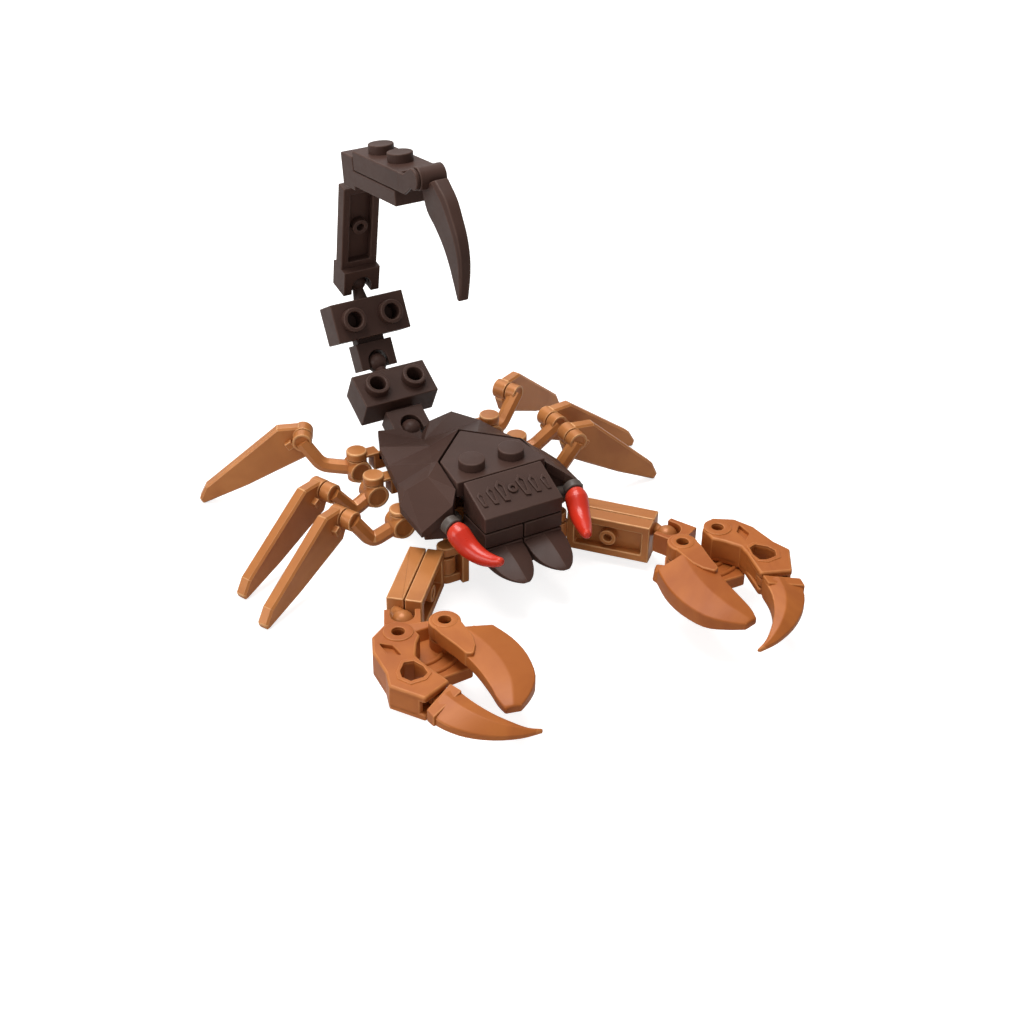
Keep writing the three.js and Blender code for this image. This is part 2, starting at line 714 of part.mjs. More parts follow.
function legArm(leg) {
  const axis = kneeAxis(leg);
  const [x, y, z] = leg.hip;
  const hub = join(
    rod([x, y - 2.1, z], [x, y + 2.1, z], 2.2, HOLE_SIDES),
    rod([x, y, z - 2.2], [x, y, z + 2.2], 1.9, HOLE_SIDES),
  );
  const bar = swept(
    [leg.hip, leg.bend, along(leg.knee, axis, -1.7)].map((at) => ({ at, r: LEG_ROD_R })),
    HOLE_SIDES,
  );
  return join(
    cut(join(hub, bar), rod([x, y, z - 4], [x, y, z + 4], HIP_PIN_R + 0.25, HOLE_SIDES)),
    rod(along(leg.knee, axis, -3), along(leg.knee, axis, -0.15), KNUCKLE_R),
    rod(along(leg.knee, axis, -1), along(leg.knee, axis, 2.8), KNEE_PIN_R, HOLE_SIDES),
  );
}

function legBlade(leg) {
  const axis = kneeAxis(leg);
  const reach = new THREE.Vector3(...leg.tip).sub(new THREE.Vector3(...leg.knee));
  const length = reach.length();
  const forward = reach.normalize();
  const upward = axis.clone().cross(forward);
  if (upward.z < 0) {
    upward.negate();
  }
  const outline = [
    [-0.6, 1.9], [3.1, 4.1], [length * 0.89, 2.1], [length, 0.6], [length + 0.1, -0.7], [length * 0.62, -2.3],
    [2.9, -3.7], [-0.4, -1.9],
  ];
  const shape = new THREE.Shape(outline.map(([u, v]) => new THREE.Vector2(u, v)));
  const plate = new THREE.ExtrudeGeometry(shape, { depth: 2 * BLADE_HALF, bevelEnabled: false });
  const across = forward.clone().cross(upward);
  plate.translate(0, 0, across.dot(axis) > 0 ? 0.3 : -0.3 - 2 * BLADE_HALF);
  const frame = new THREE.Matrix4().makeBasis(forward, upward, across);
  frame.setPosition(...leg.knee);
  plate.applyMatrix4(frame);
  const barrel = rod(along(leg.knee, axis, 0.15), along(leg.knee, axis, 2.8), KNUCKLE_R);
  const bore = rod(along(leg.knee, axis, -2), along(leg.knee, axis, 4), KNEE_PIN_R + 0.25, HOLE_SIDES);
  return cut(join(solidOf(plate), barrel), bore);
}

// Tail

function tailSegment() {
  const y = [SEGMENT_CENTRE - HALF_ONE, SEGMENT_CENTRE + HALF_ONE];
  return join(
    block([-HALF_TWO, HALF_TWO], y, [-PLATE, PLATE]),
    hollowStud(-PITCH / 2, SEGMENT_CENTRE, PLATE),
    hollowStud(PITCH / 2, SEGMENT_CENTRE, PLATE),
    ballFork(1.3, -PLATE),
    block([-2.9, 2.9], [4.2, y[0] + 0.3], [-3, 0]),
    ballStem(y[1] - 0.4, BALL_PITCH),
  );
}

function tailUpright() {
  const { foot, head, face, back } = UPRIGHT;
  const middle = (foot + head) / 2;
  const backStud = (y) => rod([0, y, back + 0.4], [0, y, back - STUD_H], STUD_R, STUD_SIDES);
  const tray = cut(
    block([-HALF_ONE, HALF_ONE], [foot, head], [back, face]),
    block([-HALF_ONE + WALL, HALF_ONE - WALL], [foot + WALL, head - WALL], [back + 1.1, face + 1]),
  );
  const tube = cut(
    rod([0, middle, back + 0.8], [0, middle, face], 1.55),
    rod([0, middle, back + 1.3], [0, middle, face + 1], 0.8, HOLE_SIDES),
  );
  const tongue = hull([
    [-1.4, head - 0.6, back + 0.2], [1.4, head - 0.6, back + 0.2],
    [-1.4, head - 0.6, face - 0.2], [1.4, head - 0.6, face - 0.2],
    ...[0, 60, 120, 180, 240, 300].flatMap((degrees) => {
      const angle = rad(degrees);
      const y = TOP_PIVOT.y + 1.7 * Math.cos(angle);
      const z = TOP_PIVOT.z + 1.7 * Math.sin(angle);
      return [[-1.4, y, z], [1.4, y, z]];
    }),
  ]);
  return join(
    tray,
    tube,
    cut(tongue, rod([-3, TOP_PIVOT.y, TOP_PIVOT.z], [3, TOP_PIVOT.y, TOP_PIVOT.z], PIN_HOLE_R, HOLE_SIDES)),
    ballFork(2.8, -2.5),
    backStud(middle - PITCH / 2),
    backStud(middle + PITCH / 2),
  );
}

// The tail top turns on a pin across its rear block.
function tailTop() {
  const rear = cut(
    block([-HALF_ONE, HALF_ONE], [-2.8, 2.4], [-2.6, 4.2]),
    block([-1.75, 1.75], [-4, 4], [-4, 2.2]),
  );
  const deck = cut(
    block([-HALF_ONE, HALF_ONE], [-20.4, -2.6], [-1.8, 1.15]),
    block([-1.75, 1.75], [-3.4, 0], [-4, 2.2]),
  );
  return join(rear, deck, rod([-3, 0, 0], [3, 0, 0], PIN_R, HOLE_SIDES));
}

function stingerHolder() {
  const { y, z } = STINGER_AXIS;
  const lug = hull([
    [-HALF_ONE, -23, 1.3], [-HALF_ONE, -23, 4.3], [-2.7, -23, 1.3], [-2.7, -23, 4.3],
    ...[0, 45, 90, 135, 180, 225, 270, 315].flatMap((degrees) => {
      const angle = rad(degrees);
      return [-HALF_ONE, -2.7].map((x) => [x, y + 2.1 * Math.cos(angle), z + 2.1 * Math.sin(angle)]);
    }),
  ]);
  return join(
    block([-HALF_ONE, HALF_ONE], [-22.6, -3.1], [1.3, 4.3]),
    block([-HALF_ONE, -2.7], [-24.4, -22.3], [1.3, 4.3]),
    lug,
    rod([-3, y, z], [3.7, y, z], BAR_R),
    solidStud(0, -7.8, 4.3),
    solidStud(0, -15.8, 4.3),
  );
}

// Claw that grips the cross bar and curves forward and down; origin on the bar.
function stinger() {
  const grip = rod([-2.4, 0, 0], [3.9, 0, 0], 2.3, STUD_SIDES);
  const sections = [
    { inner: [2.3, -2.6], outer: [-3.6, 0.2], half: 1.7 },
    { inner: [1.2, -6.2], outer: [-7, -2.6], half: 1.6 },
    { inner: [-1.6, -8.8], outer: [-8.8, -5.7], half: 1.5 },
    { inner: [-4, -11.6], outer: [-10.1, -8.6], half: 1.4 },
    { inner: [-5.6, -14.5], outer: [-10.7, -12], half: 1.3 },
    { inner: [-6.6, -17.2], outer: [-10.3, -15.6], half: 1.2 },
    { inner: [-7.6, -20.4], outer: [-9, -20.2], half: 1 },
  ];
  const claw = loft(sections.map(({ inner, outer, half }) => {
    const back = [0, 1].map((axis) => outer[axis] + (inner[axis] - outer[axis]) * 0.12);
    return [
      [-half * 0.6, ...inner], [half * 0.6, ...inner], [half, ...back],
      [half * 0.7, ...outer], [-half * 0.7, ...outer], [-half, ...back],
    ];
  }));
  return cut(join(grip, claw), rod([-6, 0, 0], [6, 0, 0], BAR_R + 0.25));
}

// Assembly

function group(x, y, z, turnX = 0, turnZ = 0) {
  const holder = new THREE.Group();
  holder.position.set(x, y, z);
  holder.rotation.set(rad(turnX), 0, rad(turnZ));
  return holder;
}

function armPoint(x, y, z) {
  const point = new THREE.Vector3(x, y, z).applyAxisAngle(new THREE.Vector3(0, 0, 1), rad(ARM_YAW));
  return [point.x + ARM_CENTRE.x, point.y + ARM_CENTRE.y, point.z + ARM_CENTRE.z];
}

function buildTail() {
  const first = group(0, NECK_BALL.y, NECK_BALL.z, SEGMENT_TURN[0]);
  first.add(part('tail_segment_1', tailSegment(), 'dark'));
  const second = group(0, BALL_PITCH, 0, SEGMENT_TURN[1] - SEGMENT_TURN[0]);
  second.add(part('tail_segment_2', tailSegment(), 'dark'));
  const third = group(0, BALL_PITCH, 0, SEGMENT_TURN[2] - SEGMENT_TURN[1]);
  third.add(part('tail_upright', tailUpright(), 'dark'));
  const top = group(0, TOP_PIVOT.y, TOP_PIVOT.z, TOP_TURN - SEGMENT_TURN[2]);
  top.add(part('tail_top', tailTop(), 'dark'), part('stinger_holder', stingerHolder(), 'dark'));
  const claw = group(0, STINGER_AXIS.y, STINGER_AXIS.z);
  claw.add(part('stinger', stinger(), 'dark'));
  top.add(claw);
  third.add(top);
  second.add(third);
  first.add(second);
  return first;
}

// One arm with its pincer, horn and horn holder; the left side mirrors the right one.
function buildSide(side) {
  const mirror = side === 'left';
  const sign = mirror ? -1 : 1;
  const arm = group(sign * ARM_CENTRE.x, ARM_CENTRE.y, ARM_CENTRE.z, 0, sign * ARM_YAW);
  arm.add(part(`arm_inner_plate_${side}`, armInner(), 'gold', mirror));
  arm.add(part(`arm_outer_plate_${side}`, armOuter(), 'gold', mirror));
  const whole = new THREE.Group();
  whole.add(
    arm,
    part(`jaw_plate_${side}`, jawPlate(sign), 'dark'),
    part(`fang_${side}`, fangPlate(sign), 'dark'),
    part(`horn_holder_${side}`, hornHolder(), 'grey', mirror),
    part(`horn_${side}`, horn(), 'red', mirror),
    part(`shoulder_block_${side}`, shoulderBlock(armPoint(SHOULDER_X, 0, 0)), 'gold', mirror),
    part(`palm_${side}`, palm(armPoint(WRIST.x, WRIST.y, WRIST.z)), 'orange', mirror),
    part(`pincer_link_${side}`, link(), 'orange', mirror),
    part(`broad_blade_${side}`, broadBlade(), 'orange', mirror),
    part(`thin_blade_${side}`, thinBlade(), 'orange', mirror),
  );
  return whole;
}

function buildBody() {
  const body = new THREE.Group();
  const frame = chassis();
  body.add(
    part('carapace', carapace(), 'dark'),
    part('back_plate', backPlate(), 'dark'),
    part('head_slope', headSlope(), 'dark'),
    part('chassis_lower', frame.lower, 'dark'),
    part('chassis_upper', frame.upper, 'dark'),
    part('belly_dish', bellyDish(), 'gold'),
  );
  for (const row of ['front', 'middle', 'rear']) {
    const hips = LEGS.filter((leg) => leg.name.endsWith(row));
    body.add(part(`leg_holder_${row}`, legHolder(hips), 'gold'));
  }
  return body;
}

const scorpion = new THREE.Group();
scorpion.add(buildBody(), buildSide('left'), buildSide('right'), buildTail());
for (const leg of LEGS) {
  scorpion.add(part(`leg_arm_${leg.name}`, legArm(leg), 'gold'));
  scorpion.add(part(`leg_blade_${leg.name}`, legBlade(leg), 'gold'));
}

export default scorpion;
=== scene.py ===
"""The looks of a toy scorpion built of interlocking bricks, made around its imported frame.

Shapes are drawn in millimetres in the part's own frame and turned into metres when a piece is
finished. The head points to -Y, and the right side of the toy is on +X.
"""

import json
import logging
import math
from collections.abc import Callable, Iterable, Sequence
from dataclasses import dataclass, field
from enum import Enum

import bpy
from mathutils import Matrix, Vector
from mathutils.geometry import tessellate_polygon

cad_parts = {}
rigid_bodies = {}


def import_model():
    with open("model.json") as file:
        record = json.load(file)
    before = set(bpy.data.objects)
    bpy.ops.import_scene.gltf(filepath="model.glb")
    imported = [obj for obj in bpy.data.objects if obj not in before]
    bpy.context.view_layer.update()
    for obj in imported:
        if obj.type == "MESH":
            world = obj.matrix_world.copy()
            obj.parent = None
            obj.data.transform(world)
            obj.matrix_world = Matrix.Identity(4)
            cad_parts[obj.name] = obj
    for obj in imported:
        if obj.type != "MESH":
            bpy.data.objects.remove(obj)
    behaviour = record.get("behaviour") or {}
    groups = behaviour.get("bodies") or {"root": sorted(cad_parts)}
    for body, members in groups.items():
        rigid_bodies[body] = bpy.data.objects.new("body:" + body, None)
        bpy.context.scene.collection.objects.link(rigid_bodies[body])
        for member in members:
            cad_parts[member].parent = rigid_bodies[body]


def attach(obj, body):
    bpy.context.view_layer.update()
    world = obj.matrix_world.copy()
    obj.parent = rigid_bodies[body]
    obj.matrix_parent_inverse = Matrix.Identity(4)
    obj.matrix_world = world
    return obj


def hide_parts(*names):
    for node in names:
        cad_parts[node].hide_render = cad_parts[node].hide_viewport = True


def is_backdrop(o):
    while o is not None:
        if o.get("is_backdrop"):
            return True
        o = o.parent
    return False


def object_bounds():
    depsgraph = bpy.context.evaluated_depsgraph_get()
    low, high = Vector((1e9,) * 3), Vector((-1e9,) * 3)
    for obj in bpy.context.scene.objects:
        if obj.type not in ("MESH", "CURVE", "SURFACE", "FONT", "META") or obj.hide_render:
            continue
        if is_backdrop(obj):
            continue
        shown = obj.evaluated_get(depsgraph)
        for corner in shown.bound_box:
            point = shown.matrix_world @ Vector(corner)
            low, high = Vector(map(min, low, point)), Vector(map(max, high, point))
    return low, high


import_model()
log = logging.getLogger("scorpion")

Pair = tuple[float, float]
Triple = tuple[float, float, float]

MM = 0.001
PITCH = 8.0
PLATE = 3.2
GAP = 0.15
HALF_ONE = PITCH / 2 - GAP
HALF_TWO = PITCH - GAP
STUD_R = 2.4
STUD_H = 1.7
STUD_BORE_R = 1.6
WALL = 1.5
BALL_R = 2.0
ARCH_R = 2.08
LEG_ROD_R = 1.45
KNUCKLE_R = 1.85
BARREL_R = 1.9
KNEE_PIN_R = 1.0
KNEE_BORE_R = 1.25
KNEE_REACH = 2.8
KNEE_GAP = 0.15
CLAW_PIN_R = 0.85
BAR_R = 1.6
TUBE_R = 1.55
TUBE_BORE_R = 0.8
SUNK = 0.3
EDGE = 0.22
EDGE_STEPS = 3
ROUND_SIDES = 40
NARROW_FACE = 0.2
PIT_RIM = 0.12

DECK_Z = 21.3
SLOPE_DROP = 3.3
HEAD_BASE_Z = DECK_Z - 2 * PLATE
JAW_BASE_Z = HEAD_BASE_Z - PLATE
FANG_BASE_Z = JAW_BASE_Z - PLATE
BROW_Y = -7.5
LIP_Y = BROW_Y - PITCH

SHARP_DEGREES = 38
IN_PLACE = Matrix.Identity(4)
TO_METRES = Matrix.Diagonal((MM, MM, MM, 1))
MIRROR = Matrix.Diagonal((-1, 1, 1, 1))
# Local X, Y and Z become Y, Z and X, so an outline is drawn in side view and grows across the toy.
SIDE_VIEW = Matrix(((0, 0, 1, 0), (1, 0, 0, 0), (0, 1, 0, 0), (0, 0, 0, 1)))
# Local X, Y and Z become X, Z and -Y, so an outline is drawn in front view and grows towards the head.
FRONT_VIEW = Matrix(((1, 0, 0, 0), (0, 0, -1, 0), (0, 1, 0, 0), (0, 0, 0, 1)))


class Side(Enum):
    """The two sides of the toy, each with the sign of its X."""

    LEFT = -1
    RIGHT = 1

    @property
    def word(self) -> str:
        """The side's name as node and piece names have it."""
        return self.name.lower()

    @property
    def stance(self) -> Matrix:
        """Turns a shape drawn for the right side into one for this side."""
        return Matrix.Identity(4) if self is Side.RIGHT else MIRROR


def linear(red: int, green: int, blue: int) -> tuple[float, float, float, float]:
    """Turns screen values from 0 to 255 into a linear colour.

    Args:
        red: Red screen value.
        green: Green screen value.
        blue: Blue screen value.

    Returns:
        The colour with full alpha.
    """
    channels = []
    for value in (red, green, blue):
        share = value / 255
        channels.append(share / 12.92 if share <= 0.04045 else ((share + 0.055) / 1.055) ** 2.4)
    return (channels[0], channels[1], channels[2], 1.0)


@dataclass
class Shape:
    """A closed skin in millimetres, or several of them.

    Attributes:
        points: Its corners.
        faces: Its faces, as indices of the corners.
        rims: For each face, one if it belongs to a rounded edge, or empty to judge by its width.
    """

    points: list[Vector]
    faces: list[tuple[int, ...]]
    rims: list[float] = field(default_factory=list)

    def volume(self) -> float:
        """Six times the volume inside the skin, negative when it is inside out."""
        total = 0.0
        for face in self.faces:
            first = self.points[face[0]]
            for second, third in zip(face[1:], face[2:]):
                total += first.dot(self.points[second].cross(self.points[third]))
        return total

    def outward(self) -> "Shape":
        """The same skin with its faces pointing out."""
        if self.volume() < 0:
            self.faces = [tuple(reversed(face)) for face in self.faces]
        return self

    def placed(self, matrix: Matrix) -> "Shape":
        """A copy of the skin moved by a matrix, still facing out."""
        return Shape([matrix @ point for point in self.points], list(self.faces), list(self.rims)).outward()

    def edge_shares(self) -> list[float]:
        """One for each face of a rounded edge, and nought for the others."""
        if self.rims:
            return self.rims
        shares = []
        for face in self.faces:
            corners = [self.points[i] for i in face]
            sides = [(a - b).length for a, b in zip(corners, [*corners[1:], corners[0]])]
            narrow = len(face) == 4 and min(sides[0] + sides[2], sides[1] + sides[3]) < 2 * NARROW_FACE
            shares.append(1.0 if narrow else 0.0)
        return shares


def joined(*shapes: Shape) -> Shape:
    """Several shapes as one, each still closed by itself."""
    points: list[Vector] = []
    faces: list[tuple[int, ...]] = []
    rims: list[float] = []
    for shape in shapes:
        start = len(points)
        points += shape.points
        faces += [tuple(start + i for i in face) for face in shape.faces]
        rims += shape.edge_shares()
    return Shape(points, faces, rims)


def rounded(
    corners: Sequence[Pair], radius: float, closed: bool = True, steps: int = EDGE_STEPS
) -> list[Pair]:
    """Rounds the corners of an outline.

    Args:
        corners: The outline's corners in order.
        radius: Radius of the rounding, made smaller where a side is short.
        closed: False keeps the two ends of an open outline sharp.
        steps: Straight pieces in each rounded corner.

    Returns:
        The points of the rounded outline.
    """
    result: list[Pair] = []
    count = len(corners)
    for i, corner in enumerate(corners):
        if not closed and i in (0, count - 1):
            result.append(corner)
            continue
        here = Vector(corner)
        before = Vector(corners[i - 1]) - here
        after = Vector(corners[(i + 1) % count]) - here
        turn = math.pi - before.angle(after)
        if turn < math.radians(12):
            result.append(corner)
            continue
        reach = min(radius * math.tan(turn / 2), 0.45 * before.length, 0.45 * after.length)
        start = here + before.normalized() * reach
        end = here + after.normalized() * reach
        for k in range(steps + 1):
            t = k / steps
            point = start * (1 - t) ** 2 + here * 2 * t * (1 - t) + end * t ** 2
            result.append((point.x, point.y))
    return result


def arc(centre: Pair, radius: float, start: float, end: float, steps: int = 12) -> list[Pair]:
    """Points of a circular arc.

    Args:
        centre: Centre of the circle.
        radius: Its radius.
        start: Angle of the first point, in degrees.
        end: Angle of the last point, in degrees.
        steps: Straight pieces in the arc.

    Returns:
        The arc's points, both ends included.
    """
    angles = [math.radians(start + (end - start) * k / steps) for k in range(steps + 1)]
    return [(centre[0] + radius * math.cos(a), centre[1] + radius * math.sin(a)) for a in angles]


def circle(centre: Pair, radius: float, sides: int = ROUND_SIDES) -> list[Pair]:
    """Points of a full circle, the first one not repeated."""
    return arc(centre, radius, 0, 360, sides)[:-1]


def signed_area(loop: Sequence[Pair]) -> float:
    """Twice the area inside a loop, positive when it runs anticlockwise."""
    return sum(a[0] * b[1] - b[0] * a[1] for a, b in zip(loop, [*loop[1:], loop[0]]))


def inset(loop: Sequence[Pair], depth: float) -> list[Vector]:
    """Moves every side of a loop to its left by a depth.

    Args:
        loop: An anticlockwise outline or a clockwise hole.
        depth: How far the sides move into the material.

    Returns:
        The moved corners.
    """
    moved = []
    for i, corner in enumerate(loop):
        here = Vector(corner)
        before = (here - Vector(loop[i - 1])).normalized()
        after = (Vector(loop[(i + 1) % len(loop)]) - here).normalized()
        left = Vector((-before.y - after.y, before.x + after.x))
        scale = max(1 + before.dot(after), 0.35)
        moved.append(here + left * (depth / scale))
    return moved


def prism(
    outline: Sequence[Pair],
    low: float,
    high: float,
    edge: float = EDGE,
    holes: Iterable[Sequence[Pair]] = (),
    pits: Iterable[tuple[Sequence[Pair], float]] = (),
    steps: int = EDGE_STEPS,
) -> Shape:
    """Extrudes an outline along Z, with holes, pits and rounded rims.

    Args:
        outline: The outline in X and Y.
        low: Lower end.
        high: Upper end.
        edge: Radius of the rounded rims.
        holes: Outlines of holes that go right through.
        pits: Outlines of blind pits in the upper face, each with its depth.
        steps: Straight pieces in the rounding; one makes a chamfer.

    Returns:
        The closed skin.
    """
    loops = [list(outline) if signed_area(outline) > 0 else list(reversed(outline))]
    loops += [clockwise(hole) for hole in holes]
    quarter = [(math.pi / 2) * k / steps for k in range(steps + 1)]
    levels = [(edge * (1 - math.sin(t)), low + edge * (1 - math.cos(t))) for t in quarter]
    levels += [(depth, high + low - z) for depth, z in reversed(levels)]
    points: list[Vector] = []
    faces: list[tuple[int, ...]] = []
    rims: list[float] = []
    size = sum(len(loop) for loop in loops)
    for depth, z in levels:
        for loop in loops:
            points += [Vector((p.x, p.y, z)) for p in inset(loop, depth)]
    for level in range(len(levels) - 1):
        start = level * size
        for loop in loops:
            count = len(loop)
            for i in range(count):
                a, b = start + i, start + (i + 1) % count
                faces.append((a, b, b + size, a + size))
                narrow = (points[a] - points[b]).length < NARROW_FACE
                rims.append(1.0 if level != steps or narrow else 0.0)
            start += count
    top = (len(levels) - 1) * size
    rim = [list(range(top, top + len(loops[0])))]
    spot = top + len(loops[0])
    for loop in loops[1:]:
        rim.append(list(range(spot, spot + len(loop))))
        spot += len(loop)
    lower_rim = [[i - top for i in ring] for ring in rim]
    for outline_of_pit, depth in pits:
        loop = clockwise(outline_of_pit)
        rings = []
        for widen, z in ((PIT_RIM, high), (0, high - PIT_RIM), (0, high - depth)):
            rings.append(list(range(len(points), len(points) + len(loop))))
            points += [Vector((p.x, p.y, z)) for p in inset(loop, widen)]
        for mark, upper, lower in zip((1.0, 0.0), rings, rings[1:]):
            for i in range(len(loop)):
                nxt = (i + 1) % len(loop)
                faces.append((lower[i], lower[nxt], upper[nxt], upper[i]))
                rims.append(mark)
        faces.append(tuple(reversed(rings[-1])))
        rims.append(0.0)
        rim.append(rings[0])
    for rings, up in ((lower_rim, False), (rim, True)):
        caps = _cap(points, rings, up)
        faces += caps
        rims += [0.0] * len(caps)
    return Shape(points, faces, rims).outward()


def clockwise(loop: Sequence[Pair]) -> list[Pair]:
    """The loop running clockwise."""
    return list(loop) if signed_area(loop) < 0 else list(reversed(loop))


def _cap(points: Sequence[Vector], rings: Sequence[Sequence[int]], up: bool) -> list[tuple[int, ...]]:
    """Closes level rings with flat faces.

    Args:
        points: Corners of the whole skin.
        rings: The outer ring, anticlockwise, and then the rings of its openings.
        up: Whether the faces look up.

    Returns:
        One face, or triangles where there are openings.
    """
    if len(rings) == 1:
        return [tuple(rings[0]) if up else tuple(reversed(rings[0]))]
    order = [i for ring in rings for i in ring]
    flat = [[Vector((points[i].x, points[i].y, 0)) for i in ring] for ring in rings]
    result = []
    for corners in tessellate_polygon(flat):
        a, b, c = (order[i] for i in corners)
        left = (points[b] - points[a]).cross(points[c] - points[a]).z > 0
        result.append((a, b, c) if left == up else (a, c, b))
    return result


def block(x: Pair, y: Pair, z: Pair, edge: float = EDGE) -> Shape:
    """A box with rounded edges, given by its two ends along each axis."""
    return prism(rounded(rectangle(x, y), edge), z[0], z[1], edge)


def turned(profile: Sequence[Pair], ring: bool = False, sides: int = ROUND_SIDES) -> Shape:
    """Turns a profile of radius and height about Z.

    Args:
        profile: Points from the axis back to the axis, or a closed loop clear of it.
        ring: Whether the profile is a closed loop.
        sides: Straight pieces around.

    Returns:
        The closed skin.
    """
    points: list[Vector] = []
    rows: list[list[int]] = []
    for radius, height in profile:
        if radius < 1e-6:
            rows.append([len(points)] * sides)
            points.append(Vector((0, 0, height)))
            continue
        rows.append(list(range(len(points), len(points) + sides)))
        for k in range(sides):
            angle = 2 * math.pi * k / sides
            points.append(Vector((radius * math.cos(angle), radius * math.sin(angle), height)))
    faces: list[tuple[int, ...]] = []
    rims: list[float] = []
    looped = [*profile, profile[0]]
    pairs = list(zip(rows, rows[1:])) + ([(rows[-1], rows[0])] if ring else [])
    for i, (lower, upper) in enumerate(pairs):
        narrow = (Vector(looped[i]) - Vector(looped[i + 1])).length < NARROW_FACE
        for k in range(sides):
            nxt = (k + 1) % sides
            corners = (lower[k], lower[nxt], upper[nxt], upper[k])
            face = tuple(dict.fromkeys(corners))
            if len(face) > 2:
                faces.append(face)
                rims.append(1.0 if narrow else 0.0)
    return Shape(points, faces, rims).outward()


def aimed(start: Triple, end: Triple) -> Matrix:
    """Moves the origin to a start point and turns Z towards an end point."""
    axis = Vector(end) - Vector(start)
    return Matrix.Translation(start) @ Vector((0, 0, 1)).rotation_difference(axis).to_matrix().to_4x4()


def cylinder(
    start: Triple, end: Triple, radius: float, edge: float = EDGE, end_radius: float | None = None
) -> Shape:
    """A round bar with rounded rims between two points, tapered if its end radius differs."""
    length = (Vector(end) - Vector(start)).length
    far = radius if end_radius is None else end_radius
    profile = rounded([(0, 0), (radius, 0), (far, length), (0, length)], edge, closed=False)
    return turned(profile).placed(aimed(start, end))


def tube(start: Triple, end: Triple, radius: float, bore: float, edge: float = 0.15) -> Shape:
    """A round bar with a bore right through it, between two points."""
    length = (Vector(end) - Vector(start)).length
    profile = rounded([(bore, 0), (radius, 0), (radius, length), (bore, length)], edge)
    return turned(profile, ring=True).placed(aimed(start, end))


def ball(centre: Triple, radius: float) -> Shape:
    """A ball about a centre."""
    profile = [(radius * math.cos(a), radius * math.sin(a)) for a in
               (math.radians(-90 + 180 * k / 18) for k in range(19))]
    profile[0] = (0.0, -radius)
    profile[-1] = (0.0, radius)
    skin = turned(profile)
    skin.rims = [0.0] * len(skin.faces)
    return skin.placed(Matrix.Translation(centre))


def softened(shape: Shape, width: float = EDGE, segments: int = 2, sharper_than: float = 9) -> Shape:
    """Rounds every edge of a faceted shape.

    Args:
        shape: The shape with sharp edges.
        width: Width of the rounding.
        segments: Straight pieces in it.
        sharper_than: Edges that turn less than this many degrees stay as they are.

    Returns:
        The rounded shape.
    """
    host = bpy.data.objects.new("faceted", _plain_mesh(shape))
    bpy.context.scene.collection.objects.link(host)
    bevel = host.modifiers.new("soft_edges", "BEVEL")
    bevel.width = width
    bevel.segments = segments
    bevel.limit_method = "ANGLE"
    bevel.angle_limit = math.radians(sharper_than)
    made = _baked(host)
    result = _shape_of(made)
    result.rims = []
    bpy.data.meshes.remove(made)
    return Shape(result.points, result.faces, result.edge_shares()).outward()


def loft(rings: Sequence[Sequence[Vector]]) -> Shape:
    """Joins rings of equally many points into one closed skin.

    Args:
        rings: The rings in order from one end to the other.

    Returns:
        The skin, closed with a flat cap at each end.
    """
    sides = len(rings[0])
    points = [point for ring in rings for point in ring]
    faces: list[tuple[int, ...]] = []
    for row in range(len(rings) - 1):
        for k in range(sides):
            a = row * sides + k
            b = row * sides + (k + 1) % sides
            faces.append((a, b, b + sides, a + sides))
    last = (len(rings) - 1) * sides
    faces.append(tuple(reversed(range(sides))))
    faces.append(tuple(range(last, last + sides)))
    return Shape(points, faces).outward()


def eased(stations: Sequence[Sequence[float]], per_span: int = 5) -> list[list[float]]:
    """Fills in stations along a smooth curve through the given ones.

    Args:
        stations: Rows of numbers, each a station.
        per_span: New stations in each span between two given ones.

    Returns:
        The given stations with the new ones between them.
    """
    rows = [list(stations[0]), *[list(s) for s in stations], list(stations[-1])]
    rows[0] = [2 * a - b for a, b in zip(stations[0], stations[1])]
    rows[-1] = [2 * a - b for a, b in zip(stations[-1], stations[-2])]
    result = []
    for i in range(1, len(rows) - 2):
        for k in range(per_span):
            t = k / per_span
            result.append([
                0.5 * (2 * p1 + (p2 - p0) * t + (2 * p0 - 5 * p1 + 4 * p2 - p3) * t ** 2
                       + (3 * p1 - p0 - 3 * p2 + p3) * t ** 3)
                for p0, p1, p2, p3 in zip(rows[i - 1], rows[i], rows[i + 1], rows[i + 2])
            ])
    result.append(list(stations[-1]))
    return result


def node(
    tree: bpy.types.NodeTree, kind: str, inputs: dict[str | int, object] | None = None, **settings: object
) -> bpy.types.Node:
    """Adds a node to a tree.

    Args:
        tree: The tree.
        kind: The node's type.
        inputs: By name or number, each input's value or the output that feeds it.
        settings: The node's own properties, such as its operation.

    Returns:
        The node.
    """
    made = tree.nodes.new(kind)
    for name, value in settings.items():
        setattr(made, name, value)
    feed(tree, made, inputs or {})
    return made


def feed(tree: bpy.types.NodeTree, made: bpy.types.Node, inputs: dict[str | int, object]) -> None:
    """Gives inputs of a node a value, or links them to the output that feeds them."""
    for key, value in inputs.items():
        if isinstance(value, bpy.types.NodeSocket):
            tree.links.new(value, made.inputs[key])
        else:
            made.inputs[key].default_value = value


